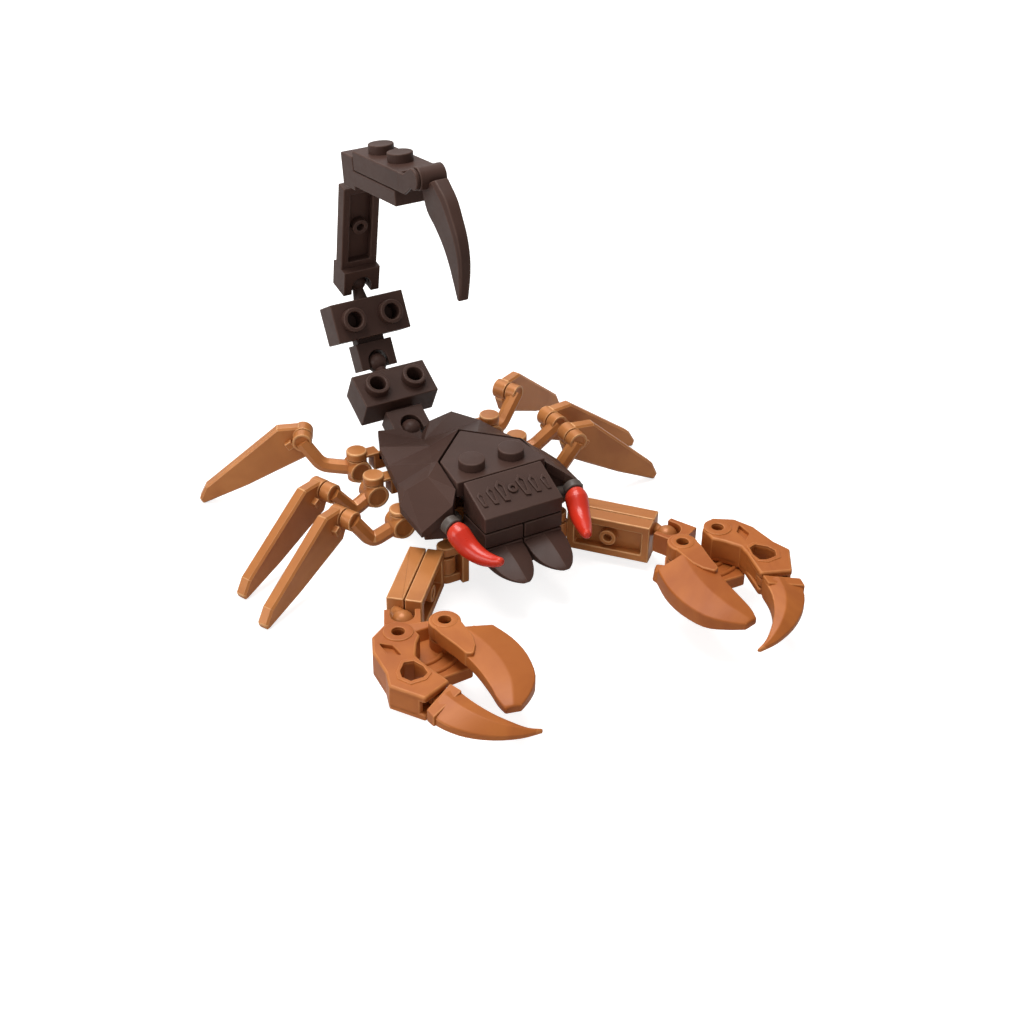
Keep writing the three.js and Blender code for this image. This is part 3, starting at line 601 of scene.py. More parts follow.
class PlasticShading:
    """The shader groups that all the moulded plastics share."""

    def __init__(self) -> None:
        """Builds the groups once."""
        self.skin = self._skin_group()
        self.tone = self._tone_group()

    @staticmethod
    def _socket(tree: bpy.types.ShaderNodeTree, name: str, way: str, kind: str, value: object = None) -> None:
        """Adds one named socket to a group.

        Args:
            tree: The group.
            name: The socket's name.
            way: INPUT or OUTPUT.
            kind: The socket's type.
            value: Its value when nothing is given.
        """
        socket = tree.interface.new_socket(name, in_out=way, socket_type=kind)
        if value is not None:
            socket.default_value = value

    def _skin_group(self) -> bpy.types.ShaderNodeTree:
        """Fine orange-peel relief and uneven gloss of a moulded surface.

        Returns:
            A group with Grain Size and Gloss inputs, and Height and Roughness outputs.
        """
        tree = bpy.data.node_groups.new("moulded_skin", "ShaderNodeTree")
        self._socket(tree, "Grain Size", "INPUT", "NodeSocketFloat", 1500.0)
        self._socket(tree, "Gloss", "INPUT", "NodeSocketFloat", 0.4)
        self._socket(tree, "Height", "OUTPUT", "NodeSocketFloat")
        self._socket(tree, "Roughness", "OUTPUT", "NodeSocketFloat")
        given = node(tree, "NodeGroupInput").outputs
        place = node(tree, "ShaderNodeTexCoord").outputs["Object"]
        peel = node(tree, "ShaderNodeTexNoise", {"Vector": place, "Scale": given["Grain Size"], "Detail": 2})
        waves = node(tree, "ShaderNodeTexNoise", {"Vector": place, "Scale": 160, "Detail": 3})
        height = node(
            tree, "ShaderNodeMath", {0: waves.outputs["Fac"], 1: 2.5, 2: peel.outputs["Fac"]},
            operation="MULTIPLY_ADD",
        )
        smears = node(
            tree, "ShaderNodeTexNoise", {"Vector": place, "Scale": 380, "Detail": 6, "Roughness": 0.65}
        )
        uneven = node(
            tree, "ShaderNodeMapRange", {"Value": smears.outputs["Fac"], "To Min": -0.09, "To Max": 0.09}
        )
        rough = node(
            tree, "ShaderNodeMath", {0: given["Gloss"], 1: uneven.outputs["Result"]}, operation="ADD"
        )
        node(tree, "NodeGroupOutput", {"Height": height.outputs[0], "Roughness": rough.outputs[0]})
        return tree

    def _tone_group(self) -> bpy.types.ShaderNodeTree:
        """The colour of a moulded plastic: drifting pearl flow, and a painted highlight in patches along the
        rounded edges.

        Returns:
            A group with Base, Deep, Edge Highlight, Flow and Highlight Strength inputs, and a Color output.
        """
        tree = bpy.data.node_groups.new("moulded_tone", "ShaderNodeTree")
        for name in ("Base", "Deep", "Edge"):
            self._socket(tree, name, "INPUT", "NodeSocketColor", (0.5, 0.5, 0.5, 1))
        self._socket(tree, "Flow", "INPUT", "NodeSocketFloat", 0.5)
        self._socket(tree, "Rub", "INPUT", "NodeSocketFloat", 0.5)
        self._socket(tree, "Color", "OUTPUT", "NodeSocketColor")
        given = node(tree, "NodeGroupInput").outputs
        place = node(tree, "ShaderNodeTexCoord").outputs["Object"]
        drift = node(
            tree, "ShaderNodeTexNoise", {"Vector": place, "Scale": 55, "Detail": 5, "Distortion": 1.6}
        )
        spread = node(
            tree, "ShaderNodeMapRange", {"Value": drift.outputs["Fac"], "From Min": 0.35, "From Max": 0.7}
        )
        amount = node(
            tree, "ShaderNodeMath", {0: spread.outputs["Result"], 1: given["Flow"]}, operation="MULTIPLY"
        )
        body = node(
            tree, "ShaderNodeMix", {"Factor": amount.outputs[0], 6: given["Base"], 7: given["Deep"]},
            data_type="RGBA",
        )
        # Painted highlight: the faces of the rounded edges are lightened towards the highlight colour, in
        # noisy patches.
        rim = node(tree, "ShaderNodeAttribute", attribute_name="edge")
        highlight_breakup = node(tree, "ShaderNodeTexNoise", {"Vector": place, "Scale": 420})
        patchy = node(
            tree, "ShaderNodeMapRange",
            {"Value": highlight_breakup.outputs["Fac"], "From Min": 0.3, "From Max": 0.6, "To Min": 0.45},
        )
        patchy_highlight = node(
            tree, "ShaderNodeMath", {0: rim.outputs["Fac"], 1: patchy.outputs["Result"]}, operation="MULTIPLY"
        )
        share = node(
            tree, "ShaderNodeMath", {0: patchy_highlight.outputs[0], 1: given["Rub"]},
            operation="MULTIPLY", use_clamp=True,
        )
        lit = node(
            tree, "ShaderNodeMix", {"Factor": share.outputs[0], 6: body.outputs[2], 7: given["Edge"]},
            data_type="RGBA",
        )
        node(tree, "NodeGroupOutput", {"Color": lit.outputs[2]})
        return tree


@dataclass(frozen=True)
class PlasticFinish:
    """One colour of moulded plastic.

    Attributes:
        slot: The record's material slot.
        base: Colour of the flat faces.
        deep: Colour where the flow runs darker.
        edge: Colour of the painted highlight on the rounded edges.
        gloss: Roughness.
        metallic: How much of the look is metal flake.
        coat: Weight of the clear skin.
        flow: Strength of the flow marks.
        rub: Strength of the painted highlight on the rounded edges.
        grain: Scale of the fine relief.
        shine: Level of the plain reflection.
    """

    slot: str
    base: tuple[float, float, float, float]
    deep: tuple[float, float, float, float]
    edge: tuple[float, float, float, float]
    gloss: float = 0.4
    metallic: float = 0.0
    coat: float = 0.0
    flow: float = 0.4
    rub: float = 0.5
    grain: float = 1500.0
    shine: float = 0.3

    def material(self, shading: PlasticShading) -> bpy.types.Material:
        """Builds the finish's material.

        Args:
            shading: The shared shader groups.

        Returns:
            The material.
        """
        made = bpy.data.materials.new(f"plastic_{self.slot}")
        made.use_nodes = True
        tree = made.node_tree
        tone = node(tree, "ShaderNodeGroup", {
            "Base": self.base, "Deep": self.deep, "Edge": self.edge, "Flow": self.flow, "Rub": self.rub,
        }, node_tree=shading.tone)
        skin = node(
            tree, "ShaderNodeGroup", {"Grain Size": self.grain, "Gloss": self.gloss}, node_tree=shading.skin
        )
        relief = node(
            tree, "ShaderNodeBump",
            {"Strength": 0.25, "Distance": 0.02 * MM, "Height": skin.outputs["Height"]},
        )
        feed(tree, tree.nodes["Principled BSDF"], {
            "Base Color": tone.outputs["Color"], "Roughness": skin.outputs["Roughness"],
            "Normal": relief.outputs["Normal"], "Metallic": self.metallic, "Coat Weight": self.coat,
            "Coat Roughness": 0.18, "Specular IOR Level": self.shine,
        })
        return made


class Palette(Enum):
    """The plastics of the toy."""

    # The third colour of each finish is the painted highlight of its rounded edges.
    DARK = PlasticFinish(
        "dark_brown", linear(73, 52, 45), linear(58, 40, 34), linear(98, 76, 67),
        gloss=0.44, flow=0.5, rub=0.4, shine=0.16,
    )
    GOLD = PlasticFinish(
        "pearl_gold", linear(188, 120, 64), linear(156, 90, 44), linear(226, 176, 122),
        gloss=0.4, metallic=0.15, coat=0.1, flow=0.6, rub=0.6,
    )
    ORANGE = PlasticFinish(
        "copper_orange", linear(178, 102, 44), linear(148, 74, 28), linear(206, 136, 78),
        gloss=0.48, metallic=0.05, coat=0.03, flow=0.7, rub=0.45,
    )
    RED = PlasticFinish(
        "horn_red", linear(202, 48, 28), linear(176, 28, 18), linear(222, 78, 54),
        gloss=0.3, coat=0.2, flow=0.4, rub=0.3,
    )
    GREY = PlasticFinish(
        "dark_grey", linear(84, 74, 68), linear(62, 54, 50), linear(112, 102, 95),
        gloss=0.42, flow=0.4, rub=0.5,
    )


def opened_tree(
    name: str, inputs: Iterable[tuple[str, str]]
) -> tuple[bpy.types.GeometryNodeTree, dict[str, str]]:
    """Starts a Geometry Nodes tree.

    Args:
        name: Its name.
        inputs: Name and type of each input.

    Returns:
        The tree, and the identifier of each input by its name.
    """
    tree = bpy.data.node_groups.new(name, "GeometryNodeTree")
    ids = {}
    for label, kind in inputs:
        ids[label] = tree.interface.new_socket(label, in_out="INPUT", socket_type=kind).identifier
    tree.interface.new_socket("Geometry", in_out="OUTPUT", socket_type="NodeSocketGeometry")
    return tree, ids


def close_tree(
    tree: bpy.types.GeometryNodeTree, made: bpy.types.NodeSocket, plastic: bpy.types.NodeSocket
) -> None:
    """Ends a Geometry Nodes tree: what it has made becomes real, gets its plastic and goes out."""
    real = node(tree, "GeometryNodeRealizeInstances", {"Geometry": made})
    paint = node(
        tree, "GeometryNodeSetMaterial", {"Geometry": real.outputs["Geometry"], "Material": plastic}
    )
    node(tree, "NodeGroupOutput", {"Geometry": paint.outputs["Geometry"]})


class Row:
    """A Geometry Nodes tree that sets copies of one template along a straight line."""

    def __init__(self) -> None:
        """Builds the tree once."""
        self.tree, self.ids = opened_tree("row_of_mouldings", (
            ("Template", "NodeSocketObject"), ("Count", "NodeSocketInt"), ("Step", "NodeSocketVector"),
            ("Shrink", "NodeSocketFloat"), ("Plastic", "NodeSocketMaterial"),
        ))
        given = node(self.tree, "NodeGroupInput").outputs
        line = node(
            self.tree, "GeometryNodeMeshLine", {"Count": given["Count"], "Offset": given["Step"]},
            mode="OFFSET",
        )
        model = node(self.tree, "GeometryNodeObjectInfo", {"Object": given["Template"]})
        order = node(self.tree, "GeometryNodeInputIndex")
        scale = node(
            self.tree, "ShaderNodeMath", {0: given["Shrink"], 1: order.outputs[0]}, operation="POWER"
        )
        copies = node(self.tree, "GeometryNodeInstanceOnPoints", {
            "Points": line.outputs["Mesh"], "Instance": model.outputs["Geometry"], "Scale": scale.outputs[0],
        })
        close_tree(self.tree, copies.outputs["Instances"], given["Plastic"])

    def shape(
        self, template: Shape, count: int, step: Triple, plastic: bpy.types.Material, shrink: float = 1.0
    ) -> Shape:
        """Makes the row and hands it back as one shape.

        Args:
            template: The shape to repeat.
            count: How many there are.
            step: From one to the next, in millimetres.
            plastic: Their material.
            shrink: How much smaller each is than the one before it.

        Returns:
            All the copies.
        """
        model = bpy.data.objects.new("template", _plain_mesh(template))
        bpy.context.scene.collection.objects.link(model)
        values = {"Template": model, "Count": count, "Step": step, "Shrink": shrink, "Plastic": plastic}
        made = _evaluated(bpy.data.meshes.new("row"), self.tree, {self.ids[k]: v for k, v in values.items()})
        bpy.data.objects.remove(model)
        return made


class Sweep:
    """A Geometry Nodes tree that runs a round or many-sided bar along a path."""

    def __init__(self) -> None:
        """Builds the tree once."""
        self.tree, self.ids = opened_tree("bar_along_path", (
            ("Path", "NodeSocketGeometry"), ("Sides", "NodeSocketInt"), ("Plastic", "NodeSocketMaterial"),
        ))
        given = node(self.tree, "NodeGroupInput").outputs
        path = node(self.tree, "GeometryNodeMeshToCurve", {"Mesh": given["Path"]})
        girth = node(self.tree, "GeometryNodeInputNamedAttribute", {"Name": "girth"}, data_type="FLOAT")
        thick = node(
            self.tree, "GeometryNodeSetCurveRadius",
            {"Curve": path.outputs["Curve"], "Radius": girth.outputs["Attribute"]},
        )
        section = node(
            self.tree, "GeometryNodeCurvePrimitiveCircle", {"Radius": 1, "Resolution": given["Sides"]}
        )
        skin = node(self.tree, "GeometryNodeCurveToMesh", {
            "Curve": thick.outputs["Curve"], "Profile Curve": section.outputs["Curve"], "Fill Caps": True,
        })
        if "Scale" in skin.inputs:
            feed(self.tree, skin, {"Scale": girth.outputs["Attribute"]})
        close_tree(self.tree, skin.outputs["Mesh"], given["Plastic"])

    def shape(self, path: Sequence[Sequence[float]], sides: int, plastic: bpy.types.Material) -> Shape:
        """Runs a bar along a path.

        Args:
            path: Rows of X, Y, Z and radius, in millimetres.
            sides: Sides of the bar.
            plastic: Its material.

        Returns:
            The bar with closed ends.
        """
        host = bpy.data.meshes.new("path")
        host.from_pydata([row[:3] for row in path], [(i, i + 1) for i in range(len(path) - 1)], [])
        girth = host.attributes.new("girth", "FLOAT", "POINT")
        girth.data.foreach_set("value", [row[3] for row in path])
        return _evaluated(host, self.tree, {self.ids["Sides"]: sides, self.ids["Plastic"]: plastic}).outward()


def _plain_mesh(shape: Shape) -> bpy.types.Mesh:
    """A mesh of a shape, still in millimetres."""
    mesh = bpy.data.meshes.new("shape")
    mesh.from_pydata([tuple(p) for p in shape.points], [], shape.faces)
    mesh.attributes.new("edge", "FLOAT", "FACE").data.foreach_set("value", shape.edge_shares())
    return mesh


def _shape_of(mesh: bpy.types.Mesh) -> Shape:
    """The shape of a mesh, with its edge marks if it has them."""
    shape = Shape([v.co.copy() for v in mesh.vertices], [tuple(p.vertices) for p in mesh.polygons])
    marks = mesh.attributes.get("edge")
    if marks and marks.domain == "FACE":
        shape.rims = [item.value for item in marks.data]
    return shape


def _baked(host: bpy.types.Object) -> bpy.types.Mesh:
    """The mesh that an object's modifiers make of it; the object itself is removed."""
    bpy.context.view_layer.update()
    made = bpy.data.meshes.new_from_object(host.evaluated_get(bpy.context.evaluated_depsgraph_get()))
    old = host.data
    bpy.data.objects.remove(host)
    bpy.data.meshes.remove(old)
    return made


def _evaluated(mesh: bpy.types.Mesh, tree: bpy.types.GeometryNodeTree, values: dict[str, object]) -> Shape:
    """Runs a Geometry Nodes tree on a mesh and reads the result as a shape.

    Args:
        mesh: What the tree starts from.
        tree: The tree.
        values: Inputs by socket identifier.

    Returns:
        The result, in the mesh's own units.
    """
    host = bpy.data.objects.new("host", mesh)
    bpy.context.scene.collection.objects.link(host)
    modifier = host.modifiers.new("tree", "NODES")
    modifier.node_group = tree
    for identifier, value in values.items():
        modifier[identifier] = value
    made = _baked(host)
    shape = _shape_of(made)
    bpy.data.meshes.remove(made)
    return shape


@dataclass
class Workshop:
    """What every assembly needs: the plastics and the trees, and the way to finish a piece.

    Attributes:
        plastics: One material for each plastic.
        row: Repeats a template along a line.
        sweep: Runs a bar along a path.
    """

    plastics: dict[Palette, bpy.types.Material]
    row: Row
    sweep: Sweep

    @classmethod
    def opened(cls) -> "Workshop":
        """Builds the materials and the trees."""
        shading = PlasticShading()
        plastics = {plastic: plastic.value.material(shading) for plastic in Palette}
        return cls(plastics, Row(), Sweep())

    def studs(
        self, count: int, at: Triple, plastic: Palette, hollow: bool = False, step: Triple = (PITCH, 0, 0)
    ) -> Shape:
        """A row of studs that stand up from a face.

        Args:
            count: How many there are.
            at: Foot of the first one.
            plastic: Their plastic.
            hollow: Whether each has a bore through it.
            step: From one to the next.

        Returns:
            The row.
        """
        inner = STUD_BORE_R if hollow else 0
        corners = [(inner, -SUNK), (STUD_R, -SUNK), (STUD_R, STUD_H), (inner, STUD_H)]
        stud = turned(rounded(corners, EDGE, closed=hollow), ring=hollow)
        row = self.row.shape(stud, count, step, self.plastics[plastic])
        return row.placed(Matrix.Translation(at))

    def finish(
        self, node: str, shapes: Iterable[Shape], plastic: Palette, body: str, stance: Matrix = IN_PLACE
    ) -> bpy.types.Object:
        """Makes one piece of several closed shapes, dresses it and lets it stand for its node.

        Args:
            node: The CAD node that it replaces.
            shapes: Closed shapes in millimetres.
            plastic: The plastic it is moulded in.
            body: The body that it rides on.
            stance: Turns the shapes into the part's frame.

        Returns:
            The finished piece.
        """
        whole = joined(*[shape.placed(TO_METRES @ stance) for shape in _with_marks(shapes)])
        mesh = _plain_mesh(whole)
        mesh.polygons.foreach_set("use_smooth", [True] * len(whole.faces))
        mesh.set_sharp_from_angle(angle=math.radians(SHARP_DEGREES))
        mesh.materials.append(self.plastics[plastic])
        host = bpy.data.objects.new("host", mesh)
        bpy.context.scene.collection.objects.link(host)
        even = host.modifiers.new("even_shading", "WEIGHTED_NORMAL")
        even.keep_sharp = True
        baked = _baked(host)
        baked.name = f"moulded_{node}"
        piece = bpy.data.objects.new(f"moulded_{node}", baked)
        bpy.context.scene.collection.objects.link(piece)
        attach(piece, body)
        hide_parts(node)
        log.info("%s: %d faces on %s", piece.name, len(whole.faces), body)
        return piece


def _with_marks(shapes: Iterable[Shape]) -> list[Shape]:
    """The shapes with their edge marks worked out while they are still in millimetres."""
    return [Shape(shape.points, shape.faces, shape.edge_shares()) for shape in shapes]


@dataclass
class Carapace:
    """The faceted back shell with the plate that is let into it.

    Attributes:
        corners: The shell's corners on the right side and in the middle plane.
        facets: Its facets, by corner names.
        brow: Corners along the cut-out for the head.
        rim: Corners along the outer edge, from the wing to the tail.
        thickness: Thickness of the roof.
        skirts: Level of the lower edge at the rim's corners.
        neck_ball: Centre of the ball that carries the tail.
        wall_foot: Lower corners of the wall under the right wing's front edge.
        wall_head: Its upper corners, inside the roof.
    """

    corners: dict[str, Triple] = field(default_factory=lambda: {
        "apex": (0, 9, DECK_Z),
        "shoulder": (8.6, 0.8, DECK_Z),
        "front": (9.3, -7.4, 20.2),
        "wing_inner": (11.4, -10.2, 19),
        "wing_tip": (16.6, -8.4, 13.9),
        "peak": (11, -0.1, 19.2),
        "cheek": (14.3, 2.2, 16.2),
        "brow": (9, 2.6, 20),
        "flank": (5, 11, 18),
        "side": (16.4, 0.5, 14.6),
        "waist": (13.8, 6.8, 14.6),
        "hip_edge": (12.4, 13.5, 14.6),
        "loin": (10.8, 20.5, 14.4),
        "corner": (8, 27.2, 13.7),
        "valley": (0, 23.4, 11.4),
        "notch": (3.2, 27, 13),
        "tail_root": (0, 27, 9),
    })
    facets: tuple[tuple[str, str, str], ...] = (
        ("apex", "shoulder", "flank"), ("shoulder", "brow", "flank"), ("shoulder", "front", "peak"),
        ("shoulder", "peak", "brow"), ("front", "wing_inner", "peak"), ("wing_inner", "wing_tip", "cheek"),
        ("wing_inner", "cheek", "peak"), ("wing_tip", "side", "cheek"), ("side", "waist", "cheek"),
        ("peak", "cheek", "brow"), ("brow", "cheek", "waist"), ("brow", "waist", "hip_edge"),
        ("brow", "hip_edge", "flank"), ("apex", "flank", "valley"), ("flank", "hip_edge", "loin"),
        ("flank", "loin", "valley"), ("valley", "loin", "corner"), ("valley", "corner", "notch"),
        ("valley", "notch", "tail_root"),
    )
    brow: tuple[str, ...] = ("apex", "shoulder", "front", "wing_inner", "wing_tip")
    rim: tuple[str, ...] = ("wing_tip", "side", "waist", "hip_edge", "loin", "corner", "notch", "tail_root")
    thickness: float = 1.9
    skirts: dict[str, float] = field(default_factory=lambda: {
        "wing_tip": 12.9, "side": 12.9, "waist": 12.9, "hip_edge": 12.9, "loin": 12.9,
        "corner": 12.5, "notch": 11.4, "tail_root": 7.4,
    })
    neck_ball: Triple = (0, 29, 10.9)
    wall_foot: tuple[Triple, ...] = (
        (15.7, -7.7, 11.6), (14, -3, 11.6), (8.9, -3, 11.6), (8.9, -7.2, 11.6), (11.5, -9.3, 11.6),
    )
    wall_head: tuple[Triple, ...] = (
        (15.7, -7.7, 13.9), (13.4, -3, 16), (9.1, -3, 19.2), (9.5, -7, 19.3), (11.3, -9.6, 18.3),
    )

    def _shell(self) -> Shape:
        """The roof, its skirt and its inside as one closed skin."""
        points: list[Vector] = []
        index: dict[tuple[str, int, str], int] = {}

        def corner(name: str, sign: int, layer: str) -> int:
            x, y, z = self.corners[name]
            key = (name, sign if x else 1, layer)
            if key in index:
                return index[key]
            on_rim = name in self.rim
            inner = max(x - WALL, 0) if on_rim and layer in ("under", "sill") else x
            back = WALL if name in ("corner", "notch", "tail_root") and layer in ("under", "sill") else 0
            level = {"top": z, "under": z - self.thickness}.get(layer, self.skirts.get(name, z))
            if layer == "under" and on_rim:
                level = max(level, self.skirts[name] + 0.1)
            index[key] = len(points)
            points.append(Vector((sign * inner, y - back, level)))
            return index[key]

        faces: list[tuple[int, ...]] = []
        for sign in (1, -1):
            for names in self.facets:
                top = tuple(corner(name, sign, "top") for name in names)
                under = tuple(corner(name, sign, "under") for name in names)
                faces.append(self._facing(points, top, 1))
                faces.append(self._facing(points, under, -1))
            for a, b in zip(self.brow, self.brow[1:]):
                faces.append(self._strip(corner, sign, (a, b), ("top", "under")))
            for a, b in zip(self.rim, self.rim[1:]):
                for layers in (("top", "hem"), ("hem", "sill"), ("sill", "under")):
                    faces.append(self._strip(corner, sign, (a, b), layers))
            end = tuple(corner("wing_tip", sign, layer) for layer in ("top", "hem", "sill", "under"))
            faces.append(end if sign > 0 else tuple(reversed(end)))
        return self._consistent(points, faces)

    @staticmethod
    def _facing(points: Sequence[Vector], face: tuple[int, ...], up: int) -> tuple[int, ...]:
        """Turns a face so that it looks up or down."""
        a, b, c = (points[i] for i in face[:3])
        return face if (b - a).cross(c - a).z * up > 0 else tuple(reversed(face))

    @staticmethod
    def _strip(
        corner: Callable[[str, int, str], int], sign: int, ends: tuple[str, str], layers: tuple[str, str]
    ) -> tuple[int, ...]:
        """One wall face between two corners and two layers."""
        a, b = ends
        low, high = layers
        around = (corner(a, sign, low), corner(b, sign, low), corner(b, sign, high), corner(a, sign, high))
        return tuple(dict.fromkeys(around))

    @staticmethod
    def _consistent(points: list[Vector], faces: list[tuple[int, ...]]) -> Shape:
        """Turns the faces so that neighbours agree, starting from the first one, then all outward."""
        neighbours: dict[frozenset[int], list[int]] = {}
        for number, face in enumerate(faces):
            for a, b in zip(face, [*face[1:], face[0]]):
                neighbours.setdefault(frozenset((a, b)), []).append(number)
        done = {0}
        queue = [0]
        while queue:
            number = queue.pop()
            face = faces[number]
            for a, b in zip(face, [*face[1:], face[0]]):
                for other in neighbours[frozenset((a, b))]:
                    if other in done:
                        continue
                    turn = faces[other]
                    same_way = any((p, q) == (a, b) for p, q in zip(turn, [*turn[1:], turn[0]]))
                    faces[other] = tuple(reversed(turn)) if same_way else turn
                    done.add(other)
                    queue.append(other)
        return Shape(points, faces).outward()

    def build(self, shop: Workshop) -> None:
        """Makes the shell with its neck ball, and the back plate with two studs."""
        x, y, z = self.neck_ball
        neck = softened(loft([
            box_ring((-1.3, 1.3), (8.3, 10.6), y - 3.6),
            box_ring((-1, 1), (z - 1.6, z + 0.8), y - 0.4),
        ]))
        wall = softened(loft([vectors(self.wall_foot), vectors(self.wall_head)]))
        shop.finish("carapace", [
            softened(self._shell(), 0.25), neck, ball((x, y, z), BALL_R), wall, wall.placed(MIRROR),
        ], Palette.DARK, "body")
        half = [(8.2, 0.6), (9, BROW_Y + 0.2)]
        outline = [(0, 8.5), *half, *[(-px, py) for px, py in reversed(half)]]
        plate = prism(rounded(outline, 0.3), DECK_Z - PLATE + GAP, DECK_Z, 0.18)
        studs = shop.studs(2, (-PITCH / 2, BROW_Y + PITCH / 2, DECK_Z), Palette.DARK)
        shop.finish("back_plate", [plate, studs], Palette.DARK, "body")


def vectors(points: Iterable[Triple]) -> list[Vector]:
    """The points as vectors, to loft through."""
    return [Vector(point) for point in points]


def box_ring(x: Pair, z: Pair, y: float) -> list[Vector]:
    """Four corners of an upright rectangle at one Y."""
    return vectors(((x[0], y, z[0]), (x[1], y, z[0]), (x[1], y, z[1]), (x[0], y, z[1])))


def rectangle(x: Pair, y: Pair) -> list[Pair]:
    """The corners of a rectangle, anticlockwise."""
    return [(x[0], y[0]), (x[1], y[0]), (x[1], y[1]), (x[0], y[1])]


def tray(x: Pair, y: Pair, low: float, high: float, floor: float, wall: float = WALL) -> Shape:
    """A box that is open on top.

    Args:
        x: Its two ends along X.
        y: Its two ends along Y.
        low: Its underside.
        high: The rim.
        floor: Level of the inner floor.
        wall: Thickness of the walls.

    Returns:
        The walls and the floor.
    """
    inner_x, inner_y = (x[0] + wall, x[1] - wall), (y[0] + wall, y[1] - wall)
    opening = rounded(rectangle(inner_x, inner_y), EDGE)
    walls = prism(rounded(rectangle(x, y), EDGE), low, high, holes=[opening])
    base = prism(
        rectangle((inner_x[0] - SUNK, inner_x[1] + SUNK), (inner_y[0] - SUNK, inner_y[1] + SUNK)),
        low + 0.02, floor, 0.02, steps=1,
    )
    return joined(walls, base)


def fork(front: float, back: float, half: float = HALF_ONE) -> Shape:
    """A fork that snaps over a ball at the origin; its prongs point along -Y, its back lies at +Y.

    Args:
        front: Upper end along Z.
        back: Lower end along Z.
        half: Half its width.

    Returns:
        The fork.
    """
    prong_y, spring_y, arch_y, rear_y = -1, 0.2, 0.5, 4.4
    outline = [
        (half, prong_y), (half, rear_y), (-half, rear_y), (-half, prong_y),
        *rounded([(-ARCH_R, prong_y), (-ARCH_R, spring_y)], 0.1, closed=False),
        *arc((0, arch_y), ARCH_R, 180, 0, 18), (ARCH_R, spring_y), (ARCH_R, prong_y),
    ]
    return prism(outline, back, front, 0.18)


def ball_stem(root: float, centre: float) -> Shape:
    """A tapered neck along Y with a ball at its end."""
    return joined(
        cylinder((0, root, 0), (0, centre - 1.2, 0), 1.5, end_radius=1.0), ball((0, centre, 0), BALL_R)
    )


def dished(start: Triple, end: Triple, radius: float) -> Shape:
    """A round bar whose two end faces are sunk inside a narrow rim."""
    length = (Vector(end) - Vector(start)).length
    lip, sunk = radius - 0.45, 0.22
    corners = [
        (0, sunk), (lip, sunk), (lip, 0), (radius, 0),
        (radius, length), (lip, length), (lip, length - sunk), (0, length - sunk),
    ]
    return turned(rounded(corners, 0.16, closed=False)).placed(aimed(start, end))


@dataclass
class Head:
    """The sloped brick, the two jaw plates and the two toothed plates.

    Attributes:
        relief_height: How far the design on the slope stands up.
        tooth: Stations of a tooth: Y, half width, bottom, shoulder and ridge.
    """

    relief_height: float = 0.4
    tooth: tuple[tuple[float, float, float, float, float], ...] = (
        (-15.3, 3.8, 8.65, 10.9, 11.5),
        (-17, 3.78, 8.65, 10.5, 11.35),
        (-18.5, 3.65, 8.65, 9.95, 11.05),
        (-20, 3.3, 8.62, 9.5, 10.6),
        (-21.4, 2.7, 8.6, 9.15, 10.1),
        (-22.6, 1.85, 8.56, 8.95, 9.5),
        (-23.4, 1.0, 8.55, 8.8, 9.1),
        (-23.7, 0.5, 8.55, 8.65, 8.8),
    )

    def build(self, shop: Workshop) -> None:
        """Makes the five pieces."""
        shop.finish("head_slope", self._slope(shop), Palette.DARK, "body")
        for side in Side:
            jaw = block((GAP, HALF_TWO), (LIP_Y, BROW_Y), (JAW_BASE_Z + GAP, HEAD_BASE_Z - GAP))
            shop.finish(f"jaw_plate_{side.word}", [jaw], Palette.DARK, "body", side.stance)
            shop.finish(f"fang_{side.word}", self._fang(), Palette.DARK, "body", side.stance)

    def _slope(self, shop: Workshop) -> list[Shape]:
        """The sloped brick with a ring between two rows of lozenges in low relief."""
        outline = [
            (BROW_Y, HEAD_BASE_Z + GAP), (BROW_Y, DECK_Z),
            (LIP_Y, DECK_Z - SLOPE_DROP), (LIP_Y, HEAD_BASE_Z + GAP),
        ]
        brick = prism(rounded(outline, EDGE), -HALF_TWO, HALF_TWO).placed(SIDE_VIEW)
        leaf = prism(
            [(-0.5, -2.1), (0.5, -2.3), (1, 1.3), (0, 2.4), (-1, 1.3)], -0.2, self.relief_height, 0.1,
            pits=[([(-0.15, -1.3), (0.15, -1.3), (0.45, 1), (0, 1.6), (-0.45, 1)], 0.5)],
        )
        rows = []
        for sign in (-1, 1):
            row = shop.row.shape(
                leaf, 3, (sign * 2.15, -0.3, 0), shop.plastics[Palette.DARK], shrink=0.84
            )
            rows.append(row.placed(Matrix.Translation((sign * 2.1, 0.2, 0))))
        middle = prism(
            circle((0, 0.2), 0.95, 24), -0.2, self.relief_height, 0.1,
            pits=[(circle((0, 0.2), 0.45, 20), 0.5)],
        )
        tilt = math.atan2(SLOPE_DROP, PITCH)
        centre = Matrix.Translation((0, (BROW_Y + LIP_Y) / 2, DECK_Z - SLOPE_DROP / 2))
        on_slope = centre @ Matrix.Rotation(tilt, 4, "X")
        return [brick, *[shape.placed(on_slope) for shape in (*rows, middle)]]

    def _fang(self) -> list[Shape]:
        """A square plate whose front grows into a pointed tooth with a ridge on top."""
        middle = PITCH / 2
        plate = block(
            (middle - HALF_ONE, middle + HALF_ONE), (LIP_Y, BROW_Y), (FANG_BASE_Z + GAP, JAW_BASE_Z - GAP)
        )
        rings = []
        for y, half, bottom, shoulder, ridge in eased(self.tooth, 2):
            crown = (shoulder + ridge) / 2 + 0.12 * (ridge - shoulder)
            rings.append([
                Vector((middle - half, y, bottom)), Vector((middle + half, y, bottom)),
                Vector((middle + half, y, shoulder)), Vector((middle + 0.5 * half, y, crown)),
                Vector((middle, y, ridge)), Vector((middle - 0.5 * half, y, crown)),
                Vector((middle - half, y, shoulder)),
            ])
        return [plate, softened(loft(rings), 0.2, sharper_than=14)]


